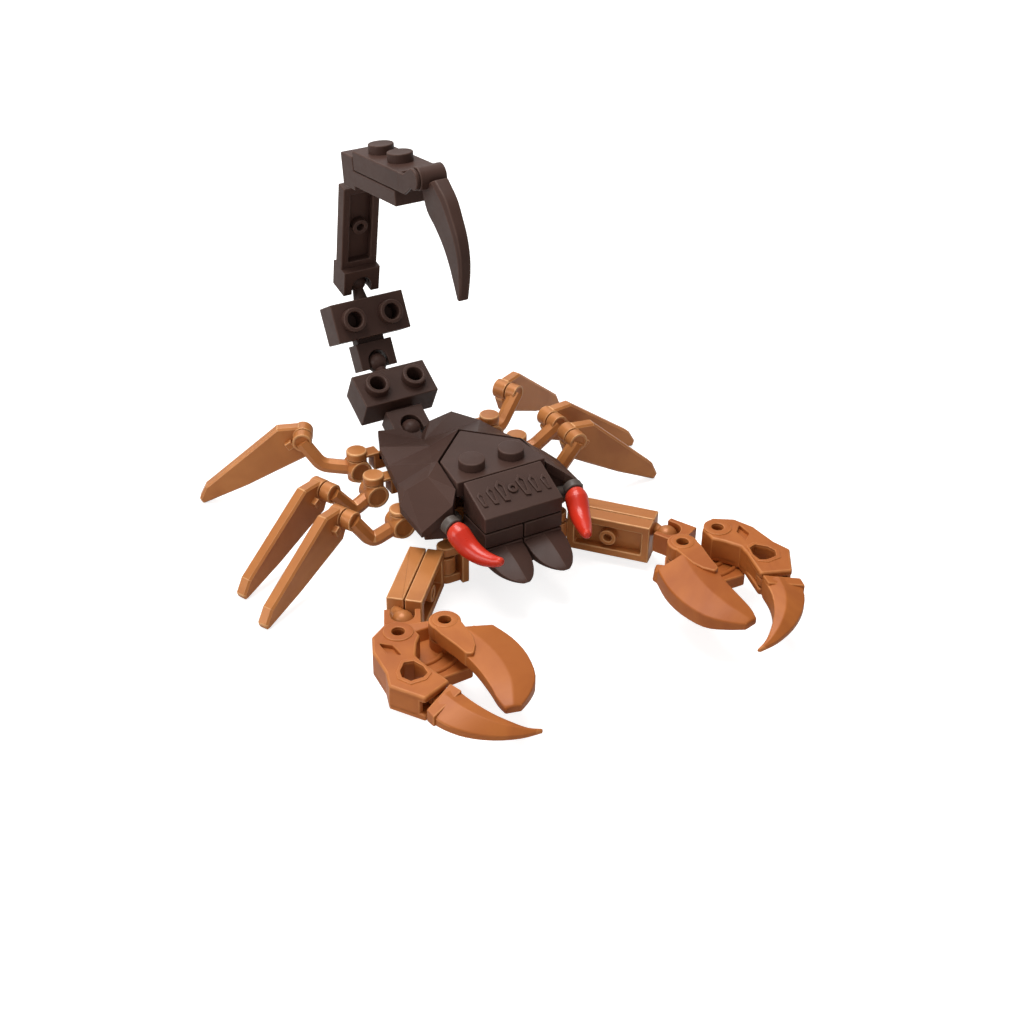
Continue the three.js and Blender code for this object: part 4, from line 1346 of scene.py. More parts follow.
@dataclass
class Frame:
    """The bricks inside the body, the belly dish and the plates that carry the legs.

    Attributes:
        dish: Profile of the belly dish, radius and height.
        hips: Hips of the right side: X, Y and Z of each row.
        step: Level of the lower part of a hip arm.
        under: Underside of its upper part.
        top: Its top.
        open_knob: Top of the knobs that the shell leaves free.
    """

    dish: tuple[Pair, ...] = ((0, 0), (2.6, 0), (4.8, 0.7), (6.6, 2.1), (7.6, 3.8), (7.85, 5.15), (0, 5.15))
    hips: dict[str, Triple] = field(default_factory=lambda: {
        "front": (15.5, 2.5, 9.3), "middle": (15.3, 14, 9.3), "rear": (14.4, 23.3, 9.3),
    })
    step: float = 10.9
    under: float = 11.75
    top: float = 12.35
    open_knob: float = 13.3

    def build(self, shop: Workshop) -> None:
        """Makes the six pieces."""
        low, high = 5.3, FANG_BASE_Z - GAP
        lower = [
            block((-HALF_TWO, HALF_TWO), (BROW_Y + 0.3, 23.5), (low, high)),
            block((-3.6, 3.6), (LIP_Y + 1, BROW_Y + 0.1), (low, high)),
        ]
        shop.finish("chassis_lower", lower, Palette.DARK, "body")
        upper = block((-6.2, 6.2), (BROW_Y + 0.3, 4.6), (HEAD_BASE_Z + GAP, DECK_Z - PLATE - GAP))
        shop.finish("chassis_upper", [upper], Palette.DARK, "body")
        shop.finish("belly_dish", [turned(self._dish_profile())], Palette.GOLD, "body")
        for row in self.hips:
            shop.finish(f"leg_holder_{row}", self._holder(row), Palette.GOLD, "body")

    def _dish_profile(self) -> list[Pair]:
        """The dish's profile with its bowl drawn smooth."""
        bowl = [(row[0], row[1]) for row in eased(self.dish[1:-1], 4)]
        return [self.dish[0], *bowl, self.dish[-1]]

    def _holder(self, row: str) -> list[Shape]:
        """A plate across the body with an arm over each hip."""
        x, y, z = self.hips[row]
        low, high = FANG_BASE_Z + GAP, JAW_BASE_Z - GAP
        half, shelf = 1.4, 9.6
        if row == "rear":
            shapes = [block((-HALF_TWO, HALF_TWO), (y - HALF_ONE, y - 2.1), (low, shelf))]
            for ends in ((-HALF_TWO, -5), (5, HALF_TWO)):
                shapes.append(block(ends, (y - 2.4, y + half), (low, shelf)))
        else:
            shapes = [block((-HALF_TWO, HALF_TWO), (y - HALF_ONE, y + HALF_ONE), (low, high))]
        step = [
            (5.2, low), (x - 3, low), (x - 3, self.under), (x, self.under), (x, self.top),
            (x - 4.3, self.top), (x - 4.3, self.step), (5.2, self.step),
        ]
        # The outline lies in X and Z; the front view draws it from the greater Y to the smaller one.
        arm = prism(rounded(step, 0.25), -y - half, -y + half).placed(FRONT_VIEW)
        knob_top = self.top + 0.15 if row == "front" else self.open_knob
        disc = cylinder((x, y, self.under - 0.1), (x, y, knob_top), 1.98, 0.3)
        pin = cylinder((x, y, z - 2.6), (x, y, self.top - 0.2), 1.1)
        for side in Side:
            shapes += [shape.placed(side.stance) for shape in (arm, disc, pin)]
        return shapes


@dataclass
class Horns:
    """The red horns and the clips that hold them.

    Attributes:
        axis_from: Where the clip's bar starts.
        axis_to: Where it ends.
        stations: X, Y, Z and radius along a horn.
    """

    axis_from: Triple = (12.63, -10.75, 16.24)
    axis_to: Triple = (12.3, -12.3, 15.9)
    stations: tuple[tuple[float, float, float, float], ...] = (
        (12.3, -12.35, 15.93, 1.3),
        (12.24, -12.6, 15.83, 1.7),
        (12.1, -13.1, 15.5, 1.98),
        (11.9, -13.8, 15, 2.1),
        (11.2, -16, 13.6, 1.9),
        (10.3, -18.8, 13.1, 1.5),
        (9.3, -21.2, 13.4, 1.1),
        (8.65, -22.6, 13.95, 0.75),
        (8.5, -22.95, 14.1, 0.35),
    )

    def build(self, shop: Workshop) -> None:
        """Makes both horns and both clips."""
        plastic = shop.plastics[Palette.RED]
        for side in Side:
            horn = shop.sweep.shape(eased(self.stations, 6), 28, plastic)
            shop.finish(f"horn_{side.word}", [horn], Palette.RED, f"horn_{side.word}", side.stance)
            clip = [
                cylinder(self.axis_from, self.axis_to, 1.75, 0.3),
                cylinder((12.2, -11.1, 15.5), (8.9, -6.8, 13.2), 1.1),
                block((HALF_TWO + GAP, 9.4), (BROW_Y + 0.3, -5.2), (12.2, 14.2)),
            ]
            shop.finish(f"horn_holder_{side.word}", clip, Palette.GREY, "body", side.stance)


@dataclass
class Arm:
    """An arm of two plates standing on edge, with the block that carries it at the shoulder.

    Attributes:
        centre: Middle of the arm.
        yaw: Turn of the right arm about Z, in degrees.
        shoulder_x: The shoulder pin along the arm.
        wrist: The wrist ball in the arm's own frame.
        front: Y of the open plate's rim in that frame.
    """

    centre: Triple = (18.1, -15.1, 5.7)
    yaw: float = -48.6
    shoulder_x: float = -9.7
    wrist: Triple = (10.4, 2.5, 1.2)
    front: float = -0.25

    def stance(self) -> Matrix:
        """The right arm's place."""
        return Matrix.Translation(self.centre) @ Matrix.Rotation(math.radians(self.yaw), 4, "Z")

    def build(self, shop: Workshop) -> None:
        """Makes both arms and both shoulder blocks."""
        for side in Side:
            place = side.stance @ self.stance()
            body = f"arm_{side.word}"
            shop.finish(f"arm_inner_plate_{side.word}", self._inner(), Palette.GOLD, body, place)
            shop.finish(f"arm_outer_plate_{side.word}", self._outer(), Palette.GOLD, body, place)
            shop.finish(f"shoulder_block_{side.word}", self._shoulder(), Palette.GOLD, "body", side.stance)

    def _inner(self) -> list[Shape]:
        """The open plate in front, with a tube in the middle and the shoulder knuckle."""
        near, far = -self.front, GAP - self.front - PLATE
        open_plate = tray((-HALF_TWO, HALF_TWO), (-HALF_ONE, HALF_ONE), far, near, far + WALL)
        middle = tube((0, 0, far + 1), (0, 0, near), TUBE_R, TUBE_BORE_R)
        x = self.shoulder_x
        return [
            joined(open_plate, middle).placed(FRONT_VIEW),
            tube((x, 0, -1.7), (x, 0, 1.7), 1.85, 1.15),
            block((x + 1.5, -HALF_TWO + 0.2), (-0.1, 1.3), (-1.7, 1.7)),
        ]

    def _outer(self) -> list[Shape]:
        """The plain plate behind, with the wrist ball."""
        front = self.front + PLATE + GAP / 2
        plate = block((-HALF_TWO, HALF_TWO), (front, front + PLATE - GAP), (-HALF_ONE, HALF_ONE))
        x, y, z = self.wrist
        stem = cylinder((HALF_TWO - SUNK, front + 1.4, z), (x - 1, y + 0.4, z), 1.1)
        return [plate, stem, ball(self.wrist, BALL_R)]

    def _shoulder(self) -> list[Shape]:
        """A block on the body's side with two lugs and the shoulder pin."""
        x, y, z = self.stance() @ Vector((self.shoulder_x, 0, 0))
        shapes = [
            block((8.2, 9.6), (y - 2.6, y + 3.6), (z - 3.8, z + 3.8)),
            cylinder((x, y, z - 3), (x, y, z + 3), 0.9),
        ]
        for low, high in ((z + 2, z + 3.8), (z - 3.8, z - 2)):
            lug = [(8.4, y - 1.6), (x, y - 1.6), *arc((x, y), 1.6, -80, 80, 10), (x, y + 1.6), (8.4, y + 1.6)]
            shapes.append(prism(lug, low, high))
        return shapes


@dataclass
class Pincer:
    """The palm, the link on its outer pin and the two blades.

    Attributes:
        blade_pivot: Pin of the broad blade.
        link_pivot: Pin of the link.
        finger_pivot: Pin of the thin blade.
        top: Highest level of the claw.
        floor: Top of the palm's floor.
        pin_hole: Radius of the holes for the pins.
        pin_depth: How far a pin's end lies under the top.
        palm_yaw: Turn of the socket on the right wrist, in degrees.
        broad: Stations of the broad blade: outer X, Y, inner X, Y, top, edge, foot, heel.
        thin: The same for the thin blade.
    """

    blade_pivot: Pair = (23.6, -30.5)
    link_pivot: Pair = (31.7, -29.7)
    finger_pivot: Pair = (32.2, -44)
    top: float = 12.2
    floor: float = 7.1
    pin_hole: float = 1.1
    pin_depth: float = 2.4
    palm_yaw: float = 206
    broad: tuple[tuple[float, ...], ...] = (
        (16.3, -33.6, 25.9, -33.2, 12.2, 10.8, 9.4, 7.6),
        (15.1, -38.2, 24.9, -38, 12, 10.7, 9.5, 7.5),
        (15, -43, 24.3, -42.5, 11.7, 10.5, 9.2, 7.5),
        (16.3, -47.7, 24.3, -47, 11.2, 10.2, 8.8, 7.5),
        (18.7, -50.5, 24.5, -49.9, 10.5, 9.8, 8.5, 7.9),
        (21.6, -52.5, 24.2, -51.9, 9.8, 9.5, 8.2, 8.2),
    )
    thin: tuple[tuple[float, ...], ...] = (
        (35.9, -48.2, 29.9, -45.8, 12.1, 10.8, 7.8, 9.1),
        (34.7, -51.2, 28.8, -49.6, 11.7, 10.3, 7.6, 8.9),
        (32.3, -53.9, 27, -52.8, 10.9, 9.7, 7.4, 8.4),
        (28.8, -56.1, 24.8, -55, 9.9, 9, 7.2, 8),
        (24.6, -57.4, 22.7, -56.4, 8.9, 8.4, 7.1, 7.6),
        (20.8, -57.7, 20.5, -57.1, 8.1, 7.9, 7.3, 7.4),
    )

    def build(self, shop: Workshop, wrist: Triple) -> None:
        """Makes the four pieces of each pincer.

        Args:
            shop: The workshop.
            wrist: The right wrist in the part's frame.
        """
        for side in Side:
            makers = {
                "palm": self._palm(shop, wrist), "pincer_link": self._link(),
                "broad_blade": self._broad_blade(), "thin_blade": self._thin_blade(),
            }
            for name, shapes in makers.items():
                node = f"{name}_{side.word}"
                shop.finish(node, shapes, Palette.ORANGE, node, side.stance)

    def _palm(self, shop: Workshop, wrist: Triple) -> list[Shape]:
        """The low palm with its socket, two pins and two curved ridges."""
        outline = [
            (22.2, -37.8), (32.2, -38.2), (33.2, -34.6), (33.6, -31.5), (33, -27.6),
            (28.4, -26), (23, -26.6), (20.9, -29.4), (20.9, -33.2),
        ]
        stance = Matrix.Translation(wrist) @ Matrix.Rotation(math.radians(self.palm_yaw), 4, "Z")
        bridge = softened(loft([
            vectors(((23.6, -26.2, 4.9), (28.6, -25.2, 4.9), (28.8, -28.6, 4.9), (23.6, -28.6, 4.9))),
            vectors(((23.8, -26.4, 9.6), (28.4, -25.4, 9.6), (28.6, -27.4, 9.1), (24.4, -27.4, 9.1))),
        ]))
        ridges = []
        for centre, reach in (((28.4, -28.5), 5.2), ((28.4, -28.5), 7.8)):
            path = [(px, py, self.floor, 0.45) for px, py in arc(centre, reach, -140, -50, 18)]
            ridges.append(shop.sweep.shape(path, 10, shop.plastics[Palette.ORANGE]))
        bx, by = self.blade_pivot
        lx, ly = self.link_pivot
        return [
            prism(rounded(outline, 0.6), 4.7, self.floor, 0.3),
            fork(1.9, -2.1, 3.1).placed(stance),
            bridge,
            *ridges,
            cylinder((bx, by, self.floor - 0.5), (bx, by, 9.1), 2.6),
            cylinder((bx, by, self.floor), (bx, by, self.top - self.pin_depth), CLAW_PIN_R),
            cylinder((lx, ly, self.floor - 0.5), (lx, ly, self.top - self.pin_depth), CLAW_PIN_R),
        ]

    def _link(self) -> list[Shape]:
        """The outer link with its pin hole, slot, window and the pocket for the thin blade."""
        outline = [
            (32.6, -26.6), (36, -28.8), (37.6, -32.4), (38, -38), (39, -41.2), (35.4, -46.6), (30.1, -44.6),
            (31.6, -38.8), (31.9, -36.4), (30.3, -33.6), (28.9, -32), (29.2, -28.6),
        ]
        fx, fy = self.finger_pivot
        low, split = 7.4, (8.7, 10.9)
        pivot = circle(self.link_pivot, self.pin_hole, 28)
        window = [
            (35.9, -38.9), (34.4, -37.3), (32.9, -37.7), (32.2, -39.6),
            (32.3, -41.4), (33.4, -42), (35.5, -41.9), (36.3, -40.4),
        ]
        window_rim = [
            (36.6, -38.9), (34.6, -36.6), (32.7, -37), (31.8, -39.5),
            (31.7, -41.7), (33.2, -42.8), (35.9, -42.7), (37.1, -40.4),
        ]
        slot = [(35.7, -30.8), (34, -32.4), (33.8, -35.3), (35.7, -33.8)]
        # Between the two cheeks the outline leaves room for the thin blade's pivot and neck.
        core = [
            *outline[:5], (36, -45.7), (35.3, -45.6), (35.2, -44.4), (34.6, -43.2), (33.8, -42.6),
            (31.2, -42.4), *outline[7:],
        ]
        shapes = [
            prism(
                rounded(outline, 0.5), split[1], self.top, 0.4, holes=[pivot, window],
                pits=[(rounded(slot, 0.2), 1.3)],
            ),
            prism(rounded(outline, 0.5), low, split[0], 0.3, holes=[pivot, window]),
            prism(rounded(core, 0.3), split[0] - 0.5, split[1] + 0.5, 0.02, holes=[pivot, window], steps=1),
            prism(circle(self.link_pivot, 2.5), self.top - 0.3, self.top + 0.18, 0.14, holes=[pivot]),
            prism(window_rim, self.top - 0.3, self.top + 0.15, 0.12, holes=[window]),
            cylinder((fx, fy, split[0] - 0.5), (fx, fy, split[1] + 0.5), CLAW_PIN_R),
        ]
        return shapes

    @staticmethod
    def _blade(stations: Sequence[Sequence[float]], ridge: float) -> Shape:
        """A blade with a lengthwise crease, rounded at every edge.

        Args:
            stations: Its cross-sections.
            ridge: Where the crease lies between the outer and the inner edge.

        Returns:
            The blade.
        """
        rings = []
        for ox, oy, ix, iy, top, edge, foot, heel in eased(stations, 3):
            mx, my = ox + (ix - ox) * ridge, oy + (iy - oy) * ridge
            rings.append([
                Vector((ox, oy, heel)), Vector((ix, iy, foot)), Vector((ix, iy, top - 0.4)),
                Vector((mx, my, top)), Vector((ox, oy, edge)),
            ])
        return softened(loft(rings), 0.3, sharper_than=16)

    def _broad_blade(self) -> list[Shape]:
        """The inner blade with its ring, its root and the step of its heel."""
        x, y = self.blade_pivot
        hole = circle(self.blade_pivot, self.pin_hole, 28)
        # The root leaves the ring's hole open.
        root = [
            (x - 2.3, y - 1.2), *arc((x, y), 1.35, 200, 340, 8), (x + 2.5, y - 0.8), (25.9, -33.4),
            (25.1, -37), (24.7, -39.8), (23.6, -40.5), (22.2, -38.6), (21.5, -36.4), (21.4, -34.2),
        ]
        heel = softened(loft([
            vectors(((18.6, -29.6, 7.6), (16.2, -32.4, 7.6), (16.4, -35, 7.6), (19.4, -34, 7.6))),
            vectors(((18.4, -30.4, 9.2), (16.6, -32.6, 9.6), (16.4, -35, 10.6), (19.6, -34, 10.6))),
        ]), 0.25)
        return [
            self._blade(self.broad, 0.55),
            prism(rounded(root, 0.5), 9.4, self.top + 0.05, 0.25),
            heel,
            prism(circle(self.blade_pivot, 2.7), 9.4, self.top, 0.25, holes=[hole]),
            prism(circle(self.blade_pivot, 2.05), self.top - 0.3, self.top + 0.15, 0.12, holes=[hole]),
        ]

    def _thin_blade(self) -> list[Shape]:
        """The outer blade with its collar and the neck that turns in the link."""
        x, y = self.finger_pivot
        neck = [(x - 1.5, y - 1.3), (x - 1.2, y - 4), (x + 1.6, y - 5), (x + 1.3, y - 1.3)]
        hole = circle(self.finger_pivot, self.pin_hole, 24)
        collar = softened(loft([
            vectors(((36, -48.2, 9), (30.2, -45, 7.9), (30.2, -45, 12), (36, -48.2, 11.4))),
            vectors(((35.7, -50, 9), (29.5, -47.6, 7.8), (29.5, -47.6, 12.15), (35.7, -50, 11))),
        ]), 0.25)
        return [
            self._blade(self.thin, 0.6),
            collar,
            prism(neck, 9, 10.6, 0.15),
            prism(circle(self.finger_pivot, 1.75), 9, 10.6, 0.15, holes=[hole]),
        ]


@dataclass(frozen=True)
class Leg:
    """One leg: an arm from the hip to the knee and a blade from there to the floor.

    Attributes:
        side: The side it stands on.
        row: front, middle or rear.
        hip: The hip.
        bend: Where the arm bends.
        knee: The knee.
        tip: The blade's tip.
    """

    side: Side
    row: str
    hip: Triple
    bend: Triple
    knee: Triple
    tip: Triple

    def axis(self) -> Vector:
        """The knee axis: level, square to the blade, pointing to the back."""
        across = Vector((self.tip[1] - self.knee[1], self.knee[0] - self.tip[0], 0)).normalized()
        return -across if across.y < 0 else across

    def beside_knee(self, distance: float) -> Triple:
        """A point on the knee axis at a distance from the knee."""
        point = Vector(self.knee) + self.axis() * distance
        return (point.x, point.y, point.z)

    def build(self, shop: Workshop) -> None:
        """Makes the arm and the blade."""
        name = f"{self.side.word}_{self.row}"
        shop.finish(f"leg_arm_{name}", self._arm(shop), Palette.GOLD, f"leg_arm_{name}")
        shop.finish(f"leg_blade_{name}", self._blade(), Palette.GOLD, f"leg_blade_{name}")

    def _arm(self, shop: Workshop) -> list[Shape]:
        """The eight-sided bar with a round hub at the hip and a knuckle at the knee."""
        x, y, z = self.hip
        corner = Vector(self.bend)
        start = Vector(self.hip) + (corner - Vector(self.hip)).normalized() * 1.2
        end = Vector(self.beside_knee(-1.7))
        before, after = (start - corner).normalized() * 1.4, (end - corner).normalized() * 1.4
        bend = []
        for k in range(7):
            t = k / 6
            point = corner + before * (1 - t) ** 2 + after * t ** 2
            bend.append((*point, LEG_ROD_R))
        path = [(*start, LEG_ROD_R), *bend, (*end, LEG_ROD_R)]
        return [
            dished((x, y - 2.1, z), (x, y + 2.1, z), 2.2),
            tube((x, y, z - 2.2), (x, y, z + 2.2), 1.9, 1.3),
            shop.sweep.shape(path, 8, shop.plastics[Palette.GOLD]),
            dished(self.beside_knee(-2.3), self.beside_knee(-KNEE_GAP), KNUCKLE_R),
            cylinder(self.beside_knee(-1), self.beside_knee(KNEE_REACH), KNEE_PIN_R),
        ]

    def _blade(self) -> list[Shape]:
        """The flat blade with wide chamfers, its barrel and the stub on its near face."""
        axis = self.axis()
        reach = Vector(self.tip) - Vector(self.knee)
        length = reach.length
        forward = reach.normalized()
        upward = axis.cross(forward)
        if upward.z < 0:
            upward.negate()
        across = forward.cross(upward)
        sign = 1 if across.dot(axis) > 0 else -1
        near, far = sorted((sign * 0.3, sign * 2.6))
        outline = [
            (-0.6, 1.9), (3.1, 4.1), (0.89 * length, 2.1), (length, 0.6), (length + 0.1, -0.7),
            (0.62 * length, -2.5), (2.2, -4.1), (-0.4, -2.3),
        ]
        stance = Matrix((
            (forward.x, upward.x, across.x, self.knee[0]),
            (forward.y, upward.y, across.y, self.knee[1]),
            (forward.z, upward.z, across.z, self.knee[2]),
            (0, 0, 0, 1),
        ))
        plate = softened(prism(rounded(outline, 0.4, steps=2), near, far, 0.38, steps=1), 0.1)
        stub = block((2.3, 3.7), (-0.6, 0.9), sorted((sign * 0.5, sign * -0.7)), 0.15)
        return [
            joined(plate, stub).placed(stance),
            tube(self.beside_knee(KNEE_GAP), self.beside_knee(KNEE_REACH), BARREL_R, KNEE_BORE_R),
        ]


LEGS = (
    Leg(Side.LEFT, "front", (-15.5, 2.5, 9.3), (-20.7, 3.7, 6.4), (-25, 5.6, 11.5), (-44.7, -4.8, 0.68)),
    Leg(Side.LEFT, "middle", (-15.3, 14, 9.3), (-20, 13.5, 7.1), (-25, 14.2, 12.6), (-44.8, 5.2, 0.67)),
    Leg(Side.LEFT, "rear", (-14.4, 23.3, 9.3), (-20.5, 26.1, 10.3), (-22.5, 29.8, 15), (-40.8, 38.9, 0.64)),
    Leg(Side.RIGHT, "front", (15.5, 2.5, 9.3), (18.4, 3.5, 10), (22.3, 4.7, 15.5), (42.4, 4.3, 0.63)),
    Leg(Side.RIGHT, "middle", (15.3, 14, 9.3), (18.7, 13.5, 9.6), (24, 14.9, 13.5), (45.5, 17.1, 0.66)),
    Leg(Side.RIGHT, "rear", (14.4, 23.3, 9.3), (17.5, 24.5, 9.1), (22, 28.9, 13.6), (40.2, 38, 0.65)),
)


@dataclass
class Tail:
    """Two segments, the upright, the top with its plate, and the stinger.

    Attributes:
        links: Where each link turns: Y, Z and its turn about X in degrees.
        ball_pitch: From one ball to the next.
        segment_y: Ends of a segment's block.
        claw: Stations of the stinger: inner Y, Z, outer Y, Z and half width.
    """

    links: dict[str, Triple] = field(default_factory=lambda: {
        "tail_segment_1": (29, 10.9, 27),
        "tail_segment_2": (43.97, 18.53, 59),
        "tail_upright": (52.62, 32.93, 100),
        "tail_top": (45.54, 58.69, -8),
        "stinger": (18.37, 67.25, -8),
    })
    ball_pitch: float = 16.8
    segment_y: Pair = (5.35, 13.05)
    claw: tuple[tuple[float, ...], ...] = (
        (2.3, -2.6, -3.6, 0.2, 1.7),
        (1.2, -6.2, -7, -2.6, 1.6),
        (-1.6, -8.8, -8.8, -5.7, 1.5),
        (-4, -11.6, -10.1, -8.6, 1.4),
        (-5.6, -14.5, -10.7, -12, 1.3),
        (-6.6, -17.2, -10.3, -15.6, 1.2),
        (-7.6, -20.4, -9, -20.2, 1.0),
    )

    def stance(self, link: str) -> Matrix:
        """The place of one link."""
        y, z, turn = self.links[link]
        return Matrix.Translation((0, y, z)) @ Matrix.Rotation(math.radians(turn), 4, "X")

    def build(self, shop: Workshop) -> None:
        """Makes the six pieces."""
        for name in ("tail_segment_1", "tail_segment_2"):
            shop.finish(name, self._segment(shop), Palette.DARK, name, self.stance(name))
        pieces = (
            ("tail_upright", self._upright(shop), "tail_upright"),
            ("tail_top", self._top(), "tail_top"),
            ("stinger_holder", self._holder(shop), "tail_top"),
            ("stinger", self._stinger(), "stinger"),
        )
        for name, shapes, body in pieces:
            shop.finish(name, shapes, Palette.DARK, body, self.stance(body))

    def _segment(self, shop: Workshop) -> list[Shape]:
        """A block with two hollow studs, a fork at its root and a ball at its far end."""
        low, high = self.segment_y
        middle = (low + high) / 2
        bores = [(circle((side * PITCH / 2, middle), STUD_BORE_R, 28), 2.4) for side in (-1, 1)]
        return [
            prism(rounded(rectangle((-HALF_TWO, HALF_TWO), self.segment_y), EDGE), -PLATE, PLATE, pits=bores),
            shop.studs(2, (-PITCH / 2, middle, PLATE), Palette.DARK, hollow=True),
            fork(1.3, -PLATE),
            block((-2.9, 2.9), (4.2, low + 0.3), (-3, 0)),
            block((-2.3, 2.3), (0.9, 3.2), (-3.1, -2.3)),
            ball_stem(high - 0.4, self.ball_pitch),
        ]

    def _upright(self, shop: Workshop) -> list[Shape]:
        """A long plate with its open side to the front, a fork below and a tongue above."""
        foot, head, back, face = 4.2, 22.4, -1.4, 1.2
        middle = (foot + head) / 2
        pivot_y, pivot_z = 26.6, 2.5
        tongue = [
            (head - 0.6, back + 0.2), *arc((pivot_y, pivot_z), 1.7, -60, 150, 16), (head - 0.6, face - 0.2),
        ]
        studs = shop.studs(2, (0, 0, 0), Palette.DARK, step=(0, -PITCH, 0))
        turn = Matrix.Translation((0, middle - PITCH / 2, back)) @ Matrix.Rotation(math.pi, 4, "X")
        return [
            tray((-HALF_ONE, HALF_ONE), (foot, head), back, face, back + 1.1),
            tube((0, middle, back + 0.8), (0, middle, face), TUBE_R, TUBE_BORE_R),
            prism(
                rounded(tongue, 0.2), -1.4, 1.4, 0.2, holes=[circle((pivot_y, pivot_z), 1.1, 24)]
            ).placed(SIDE_VIEW),
            fork(2.8, -2.5),
            block((-2.3, 2.3), (1.6, 3.6), (-2.4, -1.4)),
            studs.placed(turn),
        ]

    def _top(self) -> list[Shape]:
        """The rear block with its slot and pin, and the deck in front of it."""
        half, slot = HALF_ONE, 1.75
        rear = [
            (-half, -2.6), (-slot, -2.6), (-slot, 2.2), (slot, 2.2), (slot, -2.6), (half, -2.6),
            (half, 3.8), (-half, 3.8),
        ]
        return [
            prism(rounded(rear, 0.3), -2.4, 2.8, 0.2).placed(FRONT_VIEW),
            block((-half, half), (-20.4, -3.4), (-1.8, 1.15)),
            *[block(ends, (-3.8, -2.4), (-1.8, 1.15)) for ends in ((-half, -slot), (slot, half))],
            cylinder((-3, 0, 0), (3, 0, 0), CLAW_PIN_R),
        ]

    def _holder(self, shop: Workshop) -> list[Shape]:
        """The plate on the deck with two studs, a block at its front end, a side lug and the cross bar."""
        y, z, top = -28.1, 4.7, 4.95
        lug = [
            (-22.4, 1.3), (-22.4, top), (-24.4, top), *arc((y, z), 1.9, 60, 300, 20), (-24.4, 1.3),
        ]
        studs = shop.studs(2, (0, -7.8, top), Palette.DARK, step=(0, -PITCH, 0))
        return [
            block((-HALF_ONE, HALF_ONE), (-22.6, -3.1), (1.3, top)),
            block((-HALF_ONE + 0.05, HALF_ONE - 0.4), (-24.8, -22.2), (1.7, top - 0.3)),
            prism(lug, -HALF_ONE, -3.15, 0.2).placed(SIDE_VIEW),
            cylinder((-3.3, y, z), (1.9, y, z), BAR_R),
            studs,
        ]

    def _stinger(self) -> list[Shape]:
        """The claw that grips the cross bar and curves forward and down."""
        rings = []
        for iy, iz, oy, oz, half in eased(self.claw, 4):
            by, bz = oy + (iy - oy) * 0.12, oz + (iz - oz) * 0.12
            rings.append([
                Vector((-half * 0.6, iy, iz)), Vector((half * 0.6, iy, iz)), Vector((half, by, bz)),
                Vector((half * 0.7, oy, oz)), Vector((-half * 0.7, oy, oz)), Vector((-half, by, bz)),
            ])
        return [
            tube((-3, 0, 0), (2.05, 0, 0), 2.08, 1.65, 0.2),
            softened(loft(rings), 0.25, sharper_than=14),
        ]


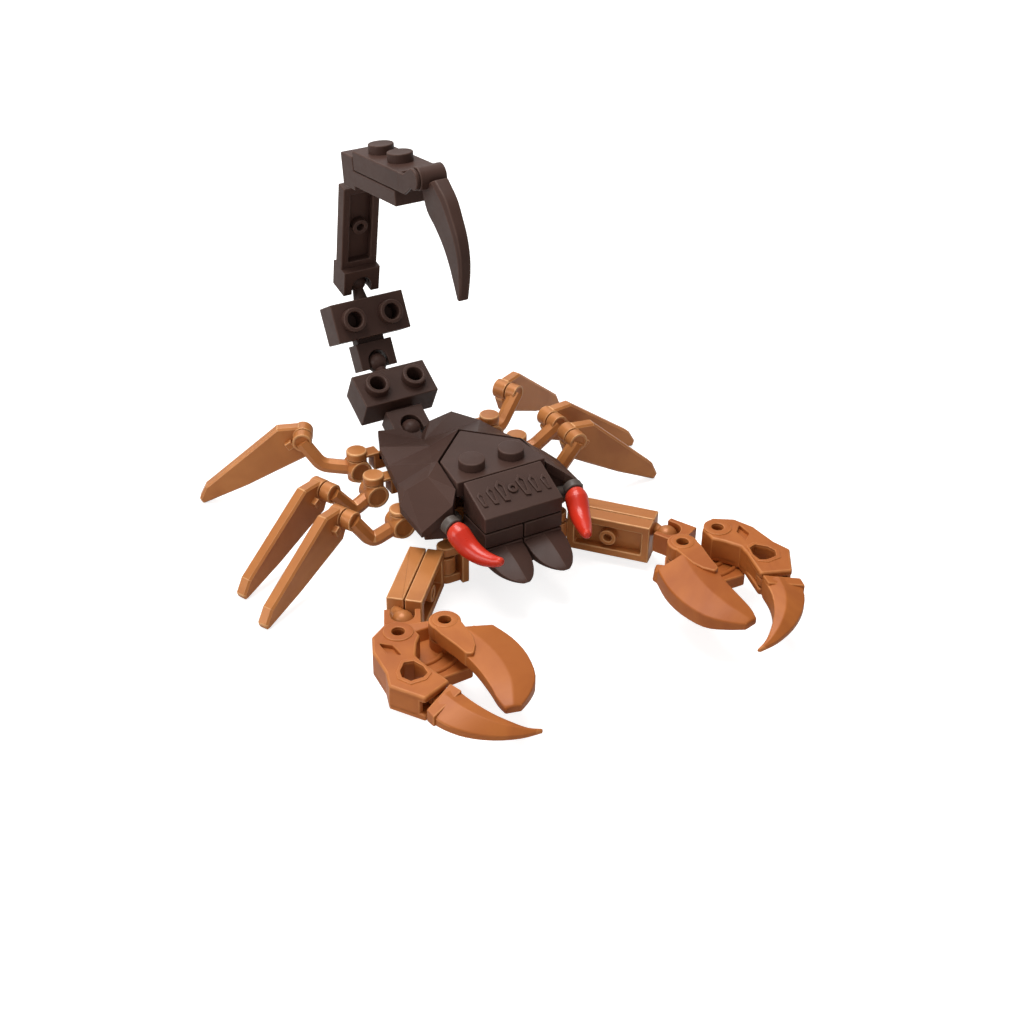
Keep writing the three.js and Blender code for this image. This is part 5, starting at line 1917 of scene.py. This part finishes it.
@dataclass
class Studio:
    """The pale floor, the lights and the camera.

    Attributes:
        eye: Where the camera stands, in millimetres.
        right: The picture's right.
        up: The picture's up.
        back: From the picture to the camera.
        lens: Focal length for a 36 mm sensor along the long side.
        floor_size: Side of the floor, in metres.
        floor_glow: How far the floor is lifted to white where the camera sees it.
        sky_glow: Strength of the surroundings.
        lamps: Name, place in metres, side in metres and power in watts of each light.
    """

    eye: Triple = (-120.5, -219.6, 174.2)
    right: Triple = (0.8700, -0.4930, 0.0125)
    up: Triple = (0.2633, 0.4858, 0.8333)
    back: Triple = (-0.4169, -0.7217, 0.5525)
    lens: float = 57.07
    floor_size: float = 4.0
    floor_glow: float = 0.8
    sky_glow: float = 0.26
    lamps: tuple[tuple[str, Triple, float, float], ...] = (
        ("key", (-0.06, 0.12, 0.72), 0.45, 5.2),
        ("side", (-0.6, -0.02, 0.3), 0.35, 1.5),
        ("front", (-0.15, -0.65, 0.35), 0.5, 0.5),
        ("rear", (0.15, 0.6, 0.45), 0.5, 1.0),
    )

    def build(self) -> None:
        """Sets up everything that isn't part of the toy."""
        self._floor()
        self._world()
        for name, place, size, power in self.lamps:
            self._light(name, place, size, power)
        self._camera()
        scene = bpy.context.scene
        scene.view_settings.view_transform = "Standard"

    def _floor(self) -> None:
        """A wide pale floor just under the toy."""
        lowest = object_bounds()[0].z
        half = self.floor_size / 2
        mesh = bpy.data.meshes.new("floor")
        corners = [(-half, -half, 0), (half, -half, 0), (half, half, 0), (-half, half, 0)]
        mesh.from_pydata(corners, [], [(0, 1, 2, 3)])
        floor = bpy.data.objects.new("floor", mesh)
        floor.location.z = lowest - 0.05 * MM
        bpy.context.scene.collection.objects.link(floor)
        paper = bpy.data.materials.new("pale_paper")
        paper.use_nodes = True
        tree = paper.node_tree
        ray = node(tree, "ShaderNodeLightPath")
        glow = node(
            tree, "ShaderNodeMath", {0: ray.outputs["Is Camera Ray"], 1: self.floor_glow},
            operation="MULTIPLY",
        )
        feed(tree, tree.nodes["Principled BSDF"], {
            "Base Color": (0.55, 0.54, 0.53, 1), "Roughness": 0.9, "Emission Color": (1, 1, 1, 1),
            "Emission Strength": glow.outputs[0],
        })
        mesh.materials.append(paper)
        floor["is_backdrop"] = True

    def _world(self) -> None:
        """Even white surroundings."""
        world = bpy.data.worlds.new("white_room")
        world.use_nodes = True
        tree = world.node_tree
        feed(tree, tree.nodes["Background"], {"Color": (1, 1, 1, 1), "Strength": self.sky_glow})
        bpy.context.scene.world = world

    @staticmethod
    def _light(name: str, place: Triple, size: float, power: float) -> None:
        """A soft square light that looks at the toy.

        Args:
            name: Its name.
            place: Where it stands, in metres.
            size: Its side, in metres.
            power: Its power, in watts.
        """
        lamp = bpy.data.lights.new(name, "AREA")
        lamp.size = size
        lamp.energy = power
        light = bpy.data.objects.new(name, lamp)
        light.location = place
        light.rotation_euler = (-Vector(place)).to_track_quat("-Z", "Y").to_euler()
        bpy.context.scene.collection.objects.link(light)
        light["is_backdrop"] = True

    def _camera(self) -> None:
        """The camera that took the photograph."""
        data = bpy.data.cameras.new("camera")
        data.lens = self.lens
        data.sensor_width = 36
        data.clip_start = 0.01
        camera = bpy.data.objects.new("camera", data)
        eye = Vector(self.eye) * MM
        camera.matrix_world = Matrix((
            (self.right[0], self.up[0], self.back[0], eye.x),
            (self.right[1], self.up[1], self.back[1], eye.y),
            (self.right[2], self.up[2], self.back[2], eye.z),
            (0, 0, 0, 1),
        ))
        bpy.context.scene.collection.objects.link(camera)
        bpy.context.scene.camera = camera


def main() -> None:
    """Builds the toy around its frame, and logs how many faces each piece has."""
    logging.basicConfig(level=logging.INFO, format="%(name)s: %(message)s")
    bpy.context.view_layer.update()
    shop = Workshop.opened()
    arm = Arm()
    wrist = arm.stance() @ Vector(arm.wrist)
    Carapace().build(shop)
    Head().build(shop)
    Frame().build(shop)
    Horns().build(shop)
    arm.build(shop)
    Pincer().build(shop, (wrist.x, wrist.y, wrist.z))
    for leg in LEGS:
        leg.build(shop)
    Tail().build(shop)
    Studio().build()


if __name__ == "__main__":
    main()
